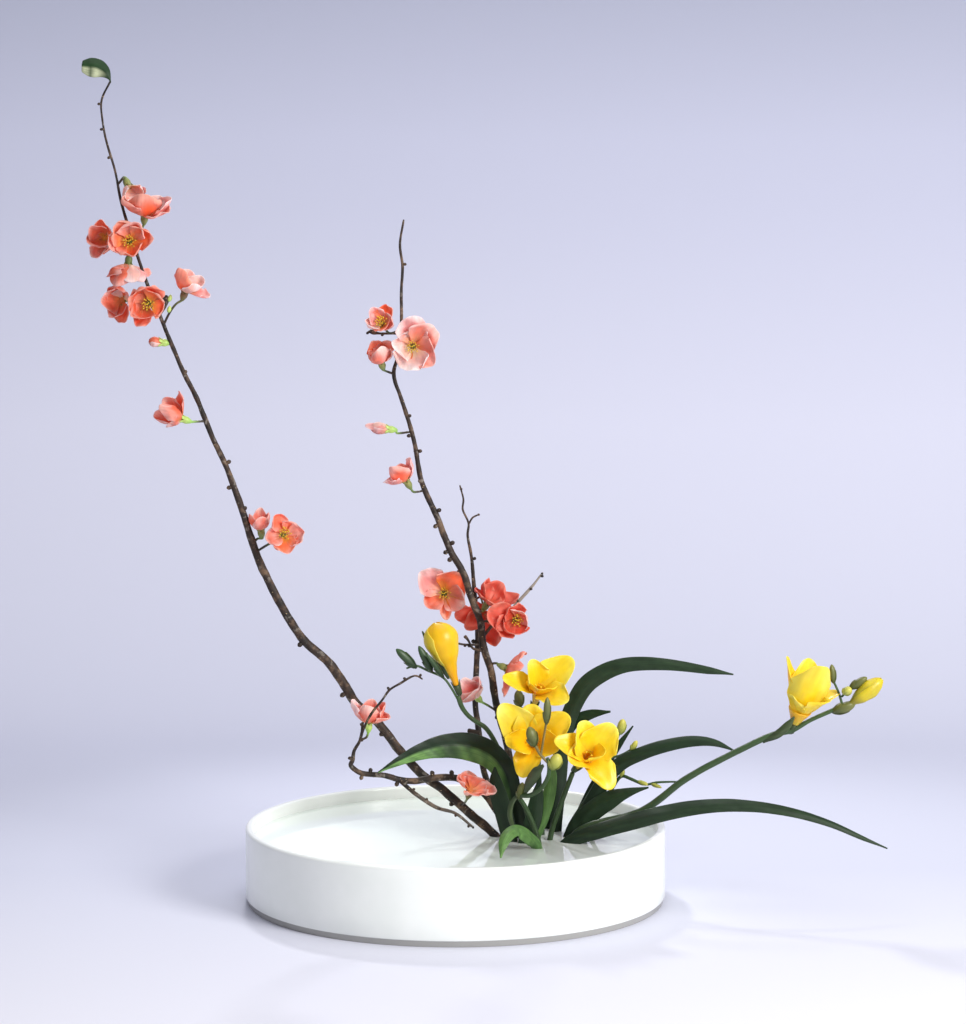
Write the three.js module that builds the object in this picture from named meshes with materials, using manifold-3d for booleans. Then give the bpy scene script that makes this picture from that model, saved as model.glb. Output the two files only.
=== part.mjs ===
// Ikebana arrangement in a shallow round bowl: four flowering quince branches, five freesia blooms
// on their stems and a fan of sword-shaped leaves, all standing on a pin holder in water.
// Units are millimetres, +Z is up and the arrangement is seen along +Y. The origin is the centre of
// the bowl's flat base.
import * as THREE from 'three';
import { mergeVertices } from 'three/addons/utils/BufferGeometryUtils.js';
import Module from 'manifold-3d';

const wasm = await Module();
wasm.setup();

// ---------------------------------------------------------------------------------- dimensions
const CLEARANCE = 0.3; // gap between pieces that rest on each other
const BOWL_RADIUS = 160;
const BOWL_HEIGHT = 58;
const BOWL_WALL = 6;
const ROUND_STEPS = 42; // flats round the bowl and the water
const BOWL_FLOOR_TOP = 10;
const FOOT_INSET = 1.4;
const FOOT_HEIGHT = 4;
const WATER_LEVEL = 48;
const HOLDER = { x: 72, y: -4, radius: 46, plate: 8, pin: 13, pinRadius: 0.9, pitch: 12.5 };
const HOLDER_BOTTOM = BOWL_FLOOR_TOP + CLEARANCE;
const PLATE_TOP = HOLDER_BOTTOM + HOLDER.plate;
const STEM_END = PLATE_TOP + CLEARANCE;
const HOLE_MARGIN = 0.7; // water stands this far off every stem
const SLOT_MARGIN = 1.3; // and this far off every blade
const LEAF_THICKNESS = 0.9;
const PETAL_THICKNESS = 0.7;
const CALYX = { length: 6.5, mouth: 2.7, belly: 2.9, foot: 1.2 };
const FREESIA_CUP = { length: 8, foot: 1.6, mouth: 2.7 };
const SIDES = { stem: 5, twig: 4, hair: 3 }; // flats round stems, round twigs and buds, round stamens
const PEDICEL_RADIUS = 1;
const MIN_REACH = 2.2; // a petal this near its flower's axis is not wrapped further round it
// Petals: rows as [share of the length, share of the half width, points across], how far the midline
// is pushed out and along the flower's axis on its way to the tip, cup and twist across.
const QUINCE_PETAL = {
  rows: [[0, 0, 1], [0.5, 0.86, 2], [0.82, 0.95, 2], [1, 0.5, 2]],
  radius: 1.7, height: 1.1, belly: [0.62, 0.24, 0.14], cup: 0.2, twist: 0.23,
};
const FREESIA_TEPAL = {
  rows: [[0, 0.32, 2], [0.4, 0.85, 3], [0.78, 1, 3], [1, 0.36, 2]],
  radius: 3.6, height: -2, belly: [0.42, 0, 0.3], cup: 0.12, twist: 0.08,
};
const FREESIA_TUBE = { length: 22, foot: 2, middle: 3, throat: 5.2 };
// Furled blooms as distance up the axis and radius, the bud's in shares, and the depth of their lobes.
const QUINCE_BUD = [[0.05, 0.5], [0.3, 0.9], [0.6, 1], [0.88, 0.7], [1, 0.3]];
const CLOSED_BLOOM = [[0, 2], [13, 4.4], [25, 9.2], [36, 12.6], [43, 10.6], [47.5, 5]];
const LOBE = 0.07;
const LOBED_SIDES = { bud: 7, bloom: 9 };
// What stands inside an open bloom: distance up the axis and radius, and how far stamens lean.
const RECEPTACLE = [[0, 2.7], [2.2, 1.8]];
const QUINCE_STAMENS = { count: 3, lean: 0.4, profile: [[0.6, 0.7], [8.5, 0.6]] };
const FREESIA_STAMENS = { count: 3, lean: 0.22, profile: [[0, 0.7], [12, 0.7]] };

// -------------------------------------------------------------------------------------- finishes
const FINISH = {
  porcelain: { color: 0xf4f6f2, roughness: 0.18, metalness: 0 },
  water: { color: 0xdfe8e2, roughness: 0.05, metalness: 0 },
  lead: { color: 0x8b8d86, roughness: 0.45, metalness: 0.8 },
  bark: { color: 0x54402f, roughness: 0.85, metalness: 0 },
  coral: { color: 0xee6f52, roughness: 0.6, metalness: 0 },
  red: { color: 0xd24a34, roughness: 0.6, metalness: 0 },
  pale: { color: 0xf2b39c, roughness: 0.6, metalness: 0 },
  yellow: { color: 0xfbcb1c, roughness: 0.55, metalness: 0 },
  stem: { color: 0x3f5a34, roughness: 0.5, metalness: 0 },
  leaf: { color: 0x2c4228, roughness: 0.45, metalness: 0 },
  youngLeaf: { color: 0x5f8450, roughness: 0.5, metalness: 0 },
};

// ------------------------------------------------------------------------------ solids and lofts
const vector = ([x, y, z]) => new THREE.Vector3(x, y, z);

/** A closed indexed geometry as a solid, turned so that its faces point outwards. */
function solidOf(geometry) {
  const plain = geometry.clone();
  const spare = Object.keys(plain.attributes).filter((name) => name !== 'position');
  spare.forEach((name) => plain.deleteAttribute(name));
  const merged = mergeVertices(plain, 1e-4);
  const triVerts = new Uint32Array(merged.index.array);
  const vertProperties = merged.attributes.position.array;
  const solid = new wasm.Manifold(new wasm.Mesh({ numProp: 3, vertProperties, triVerts }));
  if (solid.volume() > 0) return solid;
  for (let i = 0; i < triVerts.length; i += 3) {
    [triVerts[i + 1], triVerts[i + 2]] = [triVerts[i + 2], triVerts[i + 1]];
  }
  return new wasm.Manifold(new wasm.Mesh({ numProp: 3, vertProperties, triVerts }));
}

/** The surface of a solid as a geometry. */
function geometryOf(solid) {
  const { vertProperties, triVerts } = solid.getMesh();
  const geometry = new THREE.BufferGeometry();
  geometry.setAttribute('position', new THREE.BufferAttribute(vertProperties, 3));
  geometry.setIndex(new THREE.BufferAttribute(triVerts, 1));
  return geometry;
}

/** Solids grown together: sealed hollows are filled and loose scraps dropped. */
function fuse(solids) {
  const whole = solids.reduce((sum, next) => sum.add(next));
  const bodies = whole.decompose();
  return bodies.reduce((best, body) => (body.volume() > best.volume() ? body : best));
}

function mesh(name, solid, finish) {
  const made = new THREE.Mesh(geometryOf(solid), new THREE.MeshStandardMaterial(FINISH[finish]));
  made.name = name;
  return made;
}

function indexedGeometry(points, faces) {
  const geometry = new THREE.BufferGeometry().setFromPoints(points);
  geometry.setIndex(faces.flat());
  return geometry;
}

/** A solid through rings with equal numbers of points, closed at both ends. */
function loft(rings) {
  const sides = rings[0].length;
  const faces = [];
  for (let i = 0; i + 1 < rings.length; i++) {
    for (let j = 0; j < sides; j++) {
      const [a, b] = [i * sides + j, i * sides + ((j + 1) % sides)];
      faces.push([a, b, b + sides], [a, b + sides, a + sides]);
    }
  }
  const last = (rings.length - 1) * sides;
  for (let j = 1; j + 1 < sides; j++) faces.push([0, j + 1, j], [last, last + j, last + j + 1]);
  return solidOf(indexedGeometry(rings.flat(), faces));
}

/** Triangles between two rows of points, which may hold different numbers of them. */
function strip(near, far) {
  const faces = [];
  let [i, j] = [0, 0];
  while (i + 1 < near.length || j + 1 < far.length) {
    const stepNear = (i + 1) / Math.max(near.length - 1, 0.5);
    const stepFar = (j + 1) / Math.max(far.length - 1, 0.5);
    if (i + 1 < near.length && (j + 1 >= far.length || stepNear <= stepFar)) {
      faces.push([near[i], near[i + 1], far[j]]);
      i++;
    } else {
      faces.push([near[i], far[j + 1], far[j]]);
      j++;
    }
  }
  return faces;
}

/** A thin closed sheet about rows of points. Both faces are split into triangles alike. */
function sheet(rows, thickness) {
  const points = rows.flat();
  const numbers = points.map((_, i) => i);
  const indexed = rows.map((row) => numbers.splice(0, row.length));
  const faces = indexed.slice(1).flatMap((row, i) => strip(indexed[i], row));
  const middle = indexedGeometry(points, faces);
  middle.computeVertexNormals();
  const normals = middle.getAttribute('normal');
  const shifted = (side) => points.map((p, i) => {
    const normal = new THREE.Vector3().fromBufferAttribute(normals, i);
    return p.clone().addScaledVector(normal, (side * thickness) / 2);
  });
  const under = points.length;
  const edges = new Set(faces.flatMap(([a, b, c]) => [`${a} ${b}`, `${b} ${c}`, `${c} ${a}`]));
  const pairs = [...edges].map((edge) => edge.split(' ').map(Number));
  const rim = pairs.filter(([a, b]) => !edges.has(`${b} ${a}`));
  const walls = rim.flatMap(([a, b]) => [[b, a, under + a], [b, under + a, under + b]]);
  const back = faces.map(([a, b, c]) => [under + a, under + c, under + b]);
  return solidOf(indexedGeometry([...shifted(1), ...shifted(-1)], [...faces, ...back, ...walls]));
}

/** Stations along a smooth line through points [x, y, z, size]: place, direction and size of each. */
function stations(points, steps) {
  const curve = new THREE.CatmullRomCurve3(points.map(vector));
  return Array.from({ length: steps + 1 }, (_, i) => {
    const along = curve.getUtoTmapping(i / steps) * (points.length - 1);
    const from = Math.min(Math.floor(along), points.length - 2);
    return {
      at: curve.getPointAt(i / steps),
      tangent: curve.getTangentAt(i / steps),
      size: THREE.MathUtils.lerp(points[from][3], points[from + 1][3], along - from),
    };
  });
}

/** The given points themselves as stations, so that every kink stays. */
function corners(points) {
  const places = points.map(vector);
  return places.map((at, i) => ({
    at,
    tangent: places[Math.min(i + 1, places.length - 1)].clone().sub(places[Math.max(i - 1, 0)]).normalize(),
    size: points[i][3],
  }));
}

/** A round tapered tube through stations. Its first side direction is carried from ring to ring. */
function tube(line, sides, margin = 0) {
  let normal = new THREE.Vector3(0.2, 1, 0.1);
  return loft(line.map(({ at, tangent, size }) => {
    normal = normal.clone().addScaledVector(tangent, -normal.dot(tangent)).normalize();
    const binormal = tangent.clone().cross(normal);
    return Array.from({ length: sides }, (_, j) => {
      const turn = (2 * Math.PI * j) / sides;
      return at.clone()
        .addScaledVector(normal, (size + margin) * Math.cos(turn))
        .addScaledVector(binormal, (size + margin) * Math.sin(turn));
    });
  }));
}

/** A turned form on the axis through `at` along `axis`: profile points are [distance, radius]. */
function turned(at, axis, profile, sides) {
  const turn = new THREE.Quaternion().setFromUnitVectors(new THREE.Vector3(0, 0, 1), axis);
  return loft(profile.map(([distance, radius]) =>
    Array.from({ length: sides }, (_, j) => {
      const angle = (2 * Math.PI * j) / sides;
      return new THREE.Vector3(radius * Math.cos(angle), radius * Math.sin(angle), distance)
        .applyQuaternion(turn).add(at);
    })));
}

// ----------------------------------------------------------------------------------------- bowl
function bowl() {
  const inner = BOWL_RADIUS - BOWL_WALL;
  const foot = BOWL_RADIUS - FOOT_INSET;
  const profile = [
    [0, 0], [foot, 0], [foot, FOOT_HEIGHT], [BOWL_RADIUS, FOOT_HEIGHT + 1],
    [BOWL_RADIUS, BOWL_HEIGHT - 1.2], [BOWL_RADIUS - 1.6, BOWL_HEIGHT], [inner + 1.6, BOWL_HEIGHT],
    [inner, BOWL_HEIGHT - 1.2], [inner, BOWL_FLOOR_TOP + 4], [inner - 4, BOWL_FLOOR_TOP], [0, BOWL_FLOOR_TOP],
  ].map(([r, z]) => new THREE.Vector2(r, z));
  return solidOf(new THREE.LatheGeometry(profile, ROUND_STEPS).rotateX(Math.PI / 2));
}

/** The water, hollow where the pin holder stands and with a hole round everything that enters it. */
function water(holes) {
  const radius = BOWL_RADIUS - BOWL_WALL - CLEARANCE;
  const bottom = BOWL_FLOOR_TOP + CLEARANCE;
  const profile = [
    [0, bottom], [radius - 4.2, bottom], [radius, bottom + 4.2], [radius, WATER_LEVEL], [0, WATER_LEVEL],
  ].map(([r, z]) => new THREE.Vector2(r, z));
  const body = solidOf(new THREE.LatheGeometry(profile, ROUND_STEPS).rotateX(Math.PI / 2));
  const top = PLATE_TOP + HOLDER.pin + 2;
  const cavity = turned(new THREE.Vector3(HOLDER.x, HOLDER.y, 0), new THREE.Vector3(0, 0, 1),
    [[bottom - 2, HOLDER.radius + 1.5], [top, HOLDER.radius + 1.5]], 16);
  const cut = holes.reduce((rest, hole) => rest.subtract(hole), body.subtract(cavity));
  const bodies = cut.decompose();
  return bodies.reduce((best, piece) => (piece.volume() > best.volume() ? piece : best));
}

// ----------------------------------------------------------------------------------- pin holder
/** A lead plate with brass pins, left out where a stem stands between them. */
function pinHolder(feet) {
  const centre = new THREE.Vector3(HOLDER.x, HOLDER.y, 0);
  const up = new THREE.Vector3(0, 0, 1);
  const [low, high] = [HOLDER_BOTTOM, PLATE_TOP];
  const rim = HOLDER.radius;
  const plate = turned(centre, up, [[low, rim], [high - 1, rim], [high, rim - 1]], 20);
  const pins = [];
  const reach = Math.ceil(HOLDER.radius / HOLDER.pitch) + 1;
  for (let row = -reach; row <= reach; row++) {
    for (let column = -reach; column <= reach; column++) {
      const x = (column + (row % 2 ? 0.5 : 0)) * HOLDER.pitch;
      const y = row * HOLDER.pitch * Math.sin(Math.PI / 3);
      if (Math.hypot(x, y) > HOLDER.radius - 4) continue;
      const foot = new THREE.Vector3(HOLDER.x + x, HOLDER.y + y, 0);
      const blocked = feet.some(({ at, size }) =>
        at.z < high + HOLDER.pin + 3 && Math.hypot(at.x - foot.x, at.y - foot.y) < size + 1.8);
      if (blocked) continue;
      pins.push(turned(foot, up, [[high - 2, HOLDER.pinRadius], [high + HOLDER.pin, 0.3]], SIDES.hair));
    }
  }
  return fuse([plate, ...pins]);
}

// --------------------------------------------------------------------------------------- blooms
/** A quadratic curve from the seat to the tip of a petal, bellied out and up from the axis. */
function midline(seat, axis, tip, { radius, height, belly }) {
  const chord = tip.clone().sub(seat);
  const rise = chord.dot(axis);
  const out = chord.clone().addScaledVector(axis, -rise);
  const spread = out.length();
  out.normalize();
  const along = (sideways, up) => seat.clone().addScaledVector(out, sideways).addScaledVector(axis, up);
  const bulge = belly[0] * spread + belly[1] * Math.max(rise, 0);
  const middle = along(Math.max(bulge, radius), height + belly[2] * chord.length());
  return { out, curve: new THREE.QuadraticBezierCurve3(along(radius, height), middle, tip) };
}

/**
 * One petal as a sheet from the seat to its tip. It is cupped across, and twisted so that it laps
 * over the next one.
 */
function petal(seat, axis, [x, y, z, halfWidth], form) {
  const { out, curve } = midline(seat, axis, new THREE.Vector3(x, y, z), form);
  return sheet(form.rows.map(([t, share, count]) => {
    const middle = curve.getPoint(t);
    const tangent = curve.getTangent(t);
    const inner = axis.clone().multiplyScalar(tangent.dot(out)).addScaledVector(out, -tangent.dot(axis));
    const centre = seat.clone().addScaledVector(axis, middle.clone().sub(seat).dot(axis));
    const half = halfWidth * share;
    const turn = half / Math.max(middle.distanceTo(centre), MIN_REACH);
    return [[0], [-1, 1], [-1, 0, 1]][count - 1].map((s) =>
      middle.clone()
        .addScaledVector(inner, s * half * form.twist + form.cup * half * s * s)
        .sub(centre).applyAxisAngle(axis, s * turn).add(centre));
  }), PETAL_THICKNESS);
}

/** Two directions square to an axis and to each other. */
function squareTo(axis) {
  const turn = new THREE.Quaternion().setFromUnitVectors(new THREE.Vector3(0, 0, 1), axis);
  return [new THREE.Vector3(1, 0, 0), new THREE.Vector3(0, 1, 0)].map((one) => one.applyQuaternion(turn));
}

/** Stamens that lean off an axis, evenly round it. */
function stamenRing(at, axis, { count, lean, profile }) {
  const [first, second] = squareTo(axis);
  return Array.from({ length: count }, (_, i) => {
    const angle = (2 * Math.PI * (i + 0.2)) / count;
    const way = axis.clone().addScaledVector(first, lean * Math.cos(angle))
      .addScaledVector(second, lean * Math.sin(angle)).normalize();
    return turned(at, way, profile, SIDES.hair);
  });
}

/** A quince bloom: petals round a receptacle, with stamens where it is open enough to show them. */
function quinceBloom({ seat, facing, tips, stamens, bud: core }) {
  const axis = vector(facing).normalize();
  const at = vector(seat);
  const solids = [turned(at, axis, RECEPTACLE, SIDES.stem)];
  solids.push(...tips.map((tip) => petal(at, axis, tip, QUINCE_PETAL)));
  if (stamens) solids.push(...stamenRing(at, axis, QUINCE_STAMENS));
  if (core) {
    const furled = QUINCE_BUD.map(([t, share]) => [t * core[0], share * core[1]]);
    solids.push(lobed(at, axis, furled, LOBED_SIDES.bud));
  }
  return fuse(solids);
}

/** A freesia bloom: a funnel that opens into six tepals, or one still closed. */
function freesiaBloom({ foot, facing, tips, closed }) {
  const axis = vector(facing).normalize();
  const start = vector(foot);
  if (closed) return lobed(start, axis, CLOSED_BLOOM, LOBED_SIDES.bloom);
  const mouth = start.clone().addScaledVector(axis, FREESIA_TUBE.length);
  const { length, foot: narrow, middle, throat } = FREESIA_TUBE;
  return fuse([
    turned(start, axis, [[0, narrow], [length * 0.4, middle], [length + 1, throat]], 7),
    ...tips.map((tip) => petal(mouth, axis, tip, FREESIA_TEPAL)),
    ...stamenRing(mouth, axis, FREESIA_STAMENS),
  ]);
}

/** Furled petals that have not opened: one full form with three shallow lobes where they lap. */
function lobed(at, axis, profile, sides) {
  const [first, second] = squareTo(axis);
  return loft(profile.map(([distance, radius]) =>
    Array.from({ length: sides }, (_, j) => {
      const angle = (2 * Math.PI * j) / sides;
      const reach = radius * (1 + LOBE * Math.cos(3 * angle));
      return at.clone().addScaledVector(axis, distance)
        .addScaledVector(first, reach * Math.cos(angle)).addScaledVector(second, reach * Math.sin(angle));
    })));
}

/** A spindle-shaped bud that stands at `foot` and points along `facing`. */
function bud(foot, facing, length, radius) {
  const axis = vector(facing).normalize();
  const profile = [[-1, 0.8], [length * 0.45, radius], [length, 0.45]];
  return turned(vector(foot), axis, profile, SIDES.twig);
}

// --------------------------------------------------------------------- woody branches and stems
/** The place on a path of points nearest to a given one. */
function nearestOn(path, place) {
  const places = path.map(vector);
  return places.slice(1).map((end, i) =>
    new THREE.Line3(places[i], end).closestPointToPoint(place, true, new THREE.Vector3()))
    .reduce((best, one) => (one.distanceTo(place) < best.distanceTo(place) ? one : best));
}

/** The twig that carries a flower, swelling into a calyx that stops just under its petals. */
function calyx({ seat, facing, twig }, path) {
  const axis = vector(facing).normalize();
  const behind = (distance, radius) => [...vector(seat).addScaledVector(axis, -distance), radius];
  return tube(corners([
    [...nearestOn(path, vector(twig[0])), PEDICEL_RADIUS],
    ...twig.slice(1).map((p) => [...p, PEDICEL_RADIUS]),
    behind(CALYX.length, CALYX.foot),
    behind(CALYX.length * 0.45, CALYX.belly),
    behind(CLEARANCE, CALYX.mouth),
  ]), SIDES.twig);
}

/** A woody knob beside a branch, where x and z are given and the depth is the branch's own. */
function knob(line, [x, z]) {
  const near = line.reduce((best, s) =>
    (Math.hypot(s.at.x - x, s.at.z - z) < Math.hypot(best.at.x - x, best.at.z - z) ? s : best));
  const out = new THREE.Vector3(x - near.at.x, 0, z - near.at.z);
  const reach = out.length();
  out.y = -0.25 * reach;
  const size = THREE.MathUtils.clamp(near.size * 0.55, 1.1, 1.7);
  const profile = [[0, size], [reach + size * 0.8, size * 0.8]];
  return turned(near.at, out.normalize(), profile, SIDES.hair);
}

function quinceBranch({ name, path, twigs = [], knobs = [] }) {
  const line = stations(path, 4 * path.length);
  const solids = [tube(corners(path), SIDES.stem)];
  for (const twig of twigs) solids.push(tube(corners(twig), SIDES.twig));
  for (const place of knobs) solids.push(knob(line, place));
  for (const bloom of QUINCE_BLOOMS) if (bloom.branch === name) solids.push(calyx(bloom, path));
  return trimmed(fuse(solids));
}

/** What stands in the holder is cut level, just above its plate. */
const trimmed = (solid) => solid.trimByPlane([0, 0, 1], STEM_END);

/** The green cup under a freesia bloom, grown from the nearest place on its stem. */
function freesiaCup({ foot, facing }, path) {
  const axis = vector(facing).normalize();
  const behind = (distance, radius) => [...vector(foot).addScaledVector(axis, -distance), radius];
  const base = behind(FREESIA_CUP.length, FREESIA_CUP.foot);
  const root = [...nearestOn(path, vector(base)), FREESIA_CUP.foot];
  return tube(corners([root, base, behind(CLEARANCE, FREESIA_CUP.mouth)]), SIDES.stem);
}

function freesiaStem({ name, path, side = [], buds = [], blades = [] }) {
  const solids = [tube(corners(path), SIDES.stem)];
  for (const branch of side) solids.push(tube(corners(branch), SIDES.twig));
  for (const [foot, facing, length, radius] of buds) solids.push(bud(foot, facing, length, radius));
  for (const blade of blades) solids.push(leaf(blade));
  for (const bloom of FREESIA_BLOOMS) if (bloom.stem === name) solids.push(freesiaCup(bloom, path));
  return trimmed(fuse(solids));
}

// ---------------------------------------------------------------------------------------- leaves
/** A blade along a path of [x, y, z, half width], folded along its midrib, broad side to `facing`. */
function leaf({ path, steps, facing, fold = 0.25 }) {
  const rows = stations(path, steps).map(({ at, tangent, size }, i) => {
    const { side, over } = bladeFrame(tangent, facing);
    return (i < steps ? [-1, 0, 1] : [0]).map((s) =>
      at.clone().addScaledVector(side, s * size).addScaledVector(over, -fold * size * Math.abs(s)));
  });
  return sheet(rows, LEAF_THICKNESS);
}

/** Directions across a blade and out of its broad side. */
function bladeFrame(tangent, facing) {
  const side = tangent.clone().cross(vector(facing)).normalize();
  return { side, over: side.clone().cross(tangent).normalize() };
}

/** A plain slot round a blade, to let it through the water. */
function bladeHole({ path, steps, facing, fold }) {
  const line = stations(path, steps);
  const dry = line.findIndex(({ at }) => at.z > WATER_LEVEL + LEAF_THICKNESS);
  return loft(line.slice(0, dry + 2).map(({ at, tangent, size }) => {
    const { side, over } = bladeFrame(tangent, facing);
    const [wide, deep] = [size + SLOT_MARGIN, LEAF_THICKNESS / 2 + SLOT_MARGIN];
    const low = -fold * size - deep;
    return [[-wide, low], [wide, low], [wide, deep], [-wide, deep]].map(([x, y]) =>
      at.clone().addScaledVector(side, x).addScaledVector(over, y));
  }));
}

// ---------------------------------------------------------------------------------------- layout
// Paths run from the foot in the pin holder to the tip: [x, y, z, radius or half width].
const QUINCE_BRANCHES = [
  {
    name: 'quince_branch_tall',
    path: [
      [62, 2, 12, 3.4], [32, 2, 47, 3.4], [8, 3, 68, 3.5], [-14, 4, 87, 3.5], [-24, 4, 94, 3.5],
      [-41, 0, 113, 3.5], [-59, -3, 137, 3.5], [-76, -7, 153, 3.6], [-81, -10, 162, 3.7],
      [-95, -14, 184, 3.6], [-114, -17, 202, 3.4], [-129, -21, 226, 3.2], [-145, -24, 259, 3.1],
      [-150, -28, 273, 3], [-159, -31, 303, 2.6], [-170, -35, 335, 2.2], [-181, -38, 360, 2],
      [-191, -42, 387, 1.9], [-201, -45, 408, 1.7], [-208, -49, 426, 1.6], [-216, -52, 447, 1.4],
      [-226, -56, 474, 1.3], [-232, -59, 493, 1.2], [-243, -63, 532, 1.1], [-247, -66, 555, 0.9],
      [-253, -70, 578, 0.9], [-255, -73, 592, 0.8], [-255, -77, 606, 0.8], [-248, -80, 620, 0.8],
    ],
    twigs: [[[-210, -52, 451, 0.9], [-212, -52, 457, 1], [-212, -52, 460, 2.4], [-212, -52, 464, 1.2]]],
    knobs: [
      [-3, 73], [-56, 128], [-86, 159], [-104, 194], [-117, 199], [-122, 216], [-141, 251], [-157, 304],
      [-171, 319], [-167, 340], [-178, 354], [-199, 407], [-254, 563], [-259, 585], [-259, 603],
    ],
  },
  {
    name: 'quince_branch_upright',
    path: [
      [51, 26, 12, 2.9], [48, 26, 44, 2.9], [43, 26, 91, 2.9], [39, 27, 117, 2.9],
      [31, 27, 147, 2.9], [27, 27, 172, 2.9], [21, 27, 192, 2.9], [19, 28, 210, 2.9],
      [12, 28, 228, 2.8], [6, 28, 247, 2.7], [-5, 28, 267, 2.6], [-14, 29, 290, 2.4],
      [-26, 29, 318, 2.1], [-31, 30, 346, 1.9], [-36, 30, 365, 1.7], [-42, 30, 383, 1.6],
      [-47, 30, 400, 1.5], [-43, 31, 416, 1.4], [-41, 31, 439, 1.3], [-41, 31, 464, 1.2],
      [-40, 31, 481, 1.1], [-42, 32, 498, 1], [-39, 32, 517, 0.8],
    ],
    twigs: [
      [[21, 28, 198, 1.4], [28, 33, 206, 1.4], [41, 36, 216, 1.4], [50, 37, 226, 1.4], [59, 38, 236, 1.1],
        [66, 39, 245, 0.8]],
      [[22, 27, 187, 1.2], [13, 23, 190, 1.1], [10, 21, 196, 0.9], [7, 20, 200, 1.6]],
      [[12, 23, 190, 1], [6, 22, 193, 0.9], [2, 21, 194, 0.9]],
      [[-49, 28, 431, 1.4], [-58, 26, 431, 1], [-62, 24, 432, 2], [-65, 23, 433, 1.6]],
    ],
    knobs: [
      [-36, 483], [-37, 440], [-35, 368], [-38, 352], [-26, 341], [-27, 318], [-12, 296],
      [-16, 283], [-2, 271], [-9, 263], [-7, 256], [32, 136],
    ],
  },
  {
    name: 'quince_branch_back',
    path: [
      [56, 37, 12, 2.6], [46, 39, 41, 2.6], [22, 48, 88, 2.5], [18, 54, 118, 2.4], [15, 58, 142, 2.4],
      [16, 60, 171, 2.3], [17, 61, 199, 2.2], [14, 62, 232, 1.7], [12, 62, 256, 1.3], [9, 63, 273, 1],
      [10, 64, 281, 0.9], [5, 65, 293, 0.8], [6, 65, 299, 0.8], [3, 66, 311, 0.7],
    ],
    twigs: [
      [[10, 64, 282, 0.8], [13, 64, 286, 0.8], [17, 64, 288, 0.7]],
      [[19, 53, 119, 1.8], [9, 52, 121, 1.7]],
    ],
    knobs: [[4, 308], [16, 255], [10, 154], [22, 155], [12, 190]],
  },
  {
    name: 'quince_branch_crooked',
    path: [
      [47, 12, 12, 2.8], [42, 12, 47, 2.8], [32, 9, 65, 2.7], [19, 6, 83, 2.7], [2, 0, 93, 2.7],
      [-17, -8, 95, 2.7], [-31, -11, 93, 2.6], [-43, -14, 95, 2.4], [-54, -18, 99, 2.3],
      [-72, -23, 102, 2.1], [-79, -28, 109, 1.9], [-77, -32, 113, 1.6], [-76, -36, 121, 1.4],
      [-72, -39, 128, 1.2], [-68, -44, 140, 1], [-62, -48, 152, 1], [-54, -48, 162, 0.9],
      [-49, -47, 169, 0.9], [-41, -47, 174, 0.9], [-29, -46, 180, 0.8], [-24, -46, 177, 0.7],
    ],
    twigs: [
      [[-72, -39, 127, 1], [-70, -41, 136, 0.9], [-69, -42, 144, 1.2]],
      [[-43, -14, 94, 1.7], [-30, -20, 85, 1.7], [-14, -22, 75, 1.5], [0, -24, 71, 1.3], [13, -26, 61, 1]],
    ],
    knobs: [
      [-64, 104], [-72, 95], [-46, 88], [-18, 101], [-3, 99], [-80, 115], [-70, 130], [-51, 173],
      [-38, 178], [-24, 184],
    ],
  },
];

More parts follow.
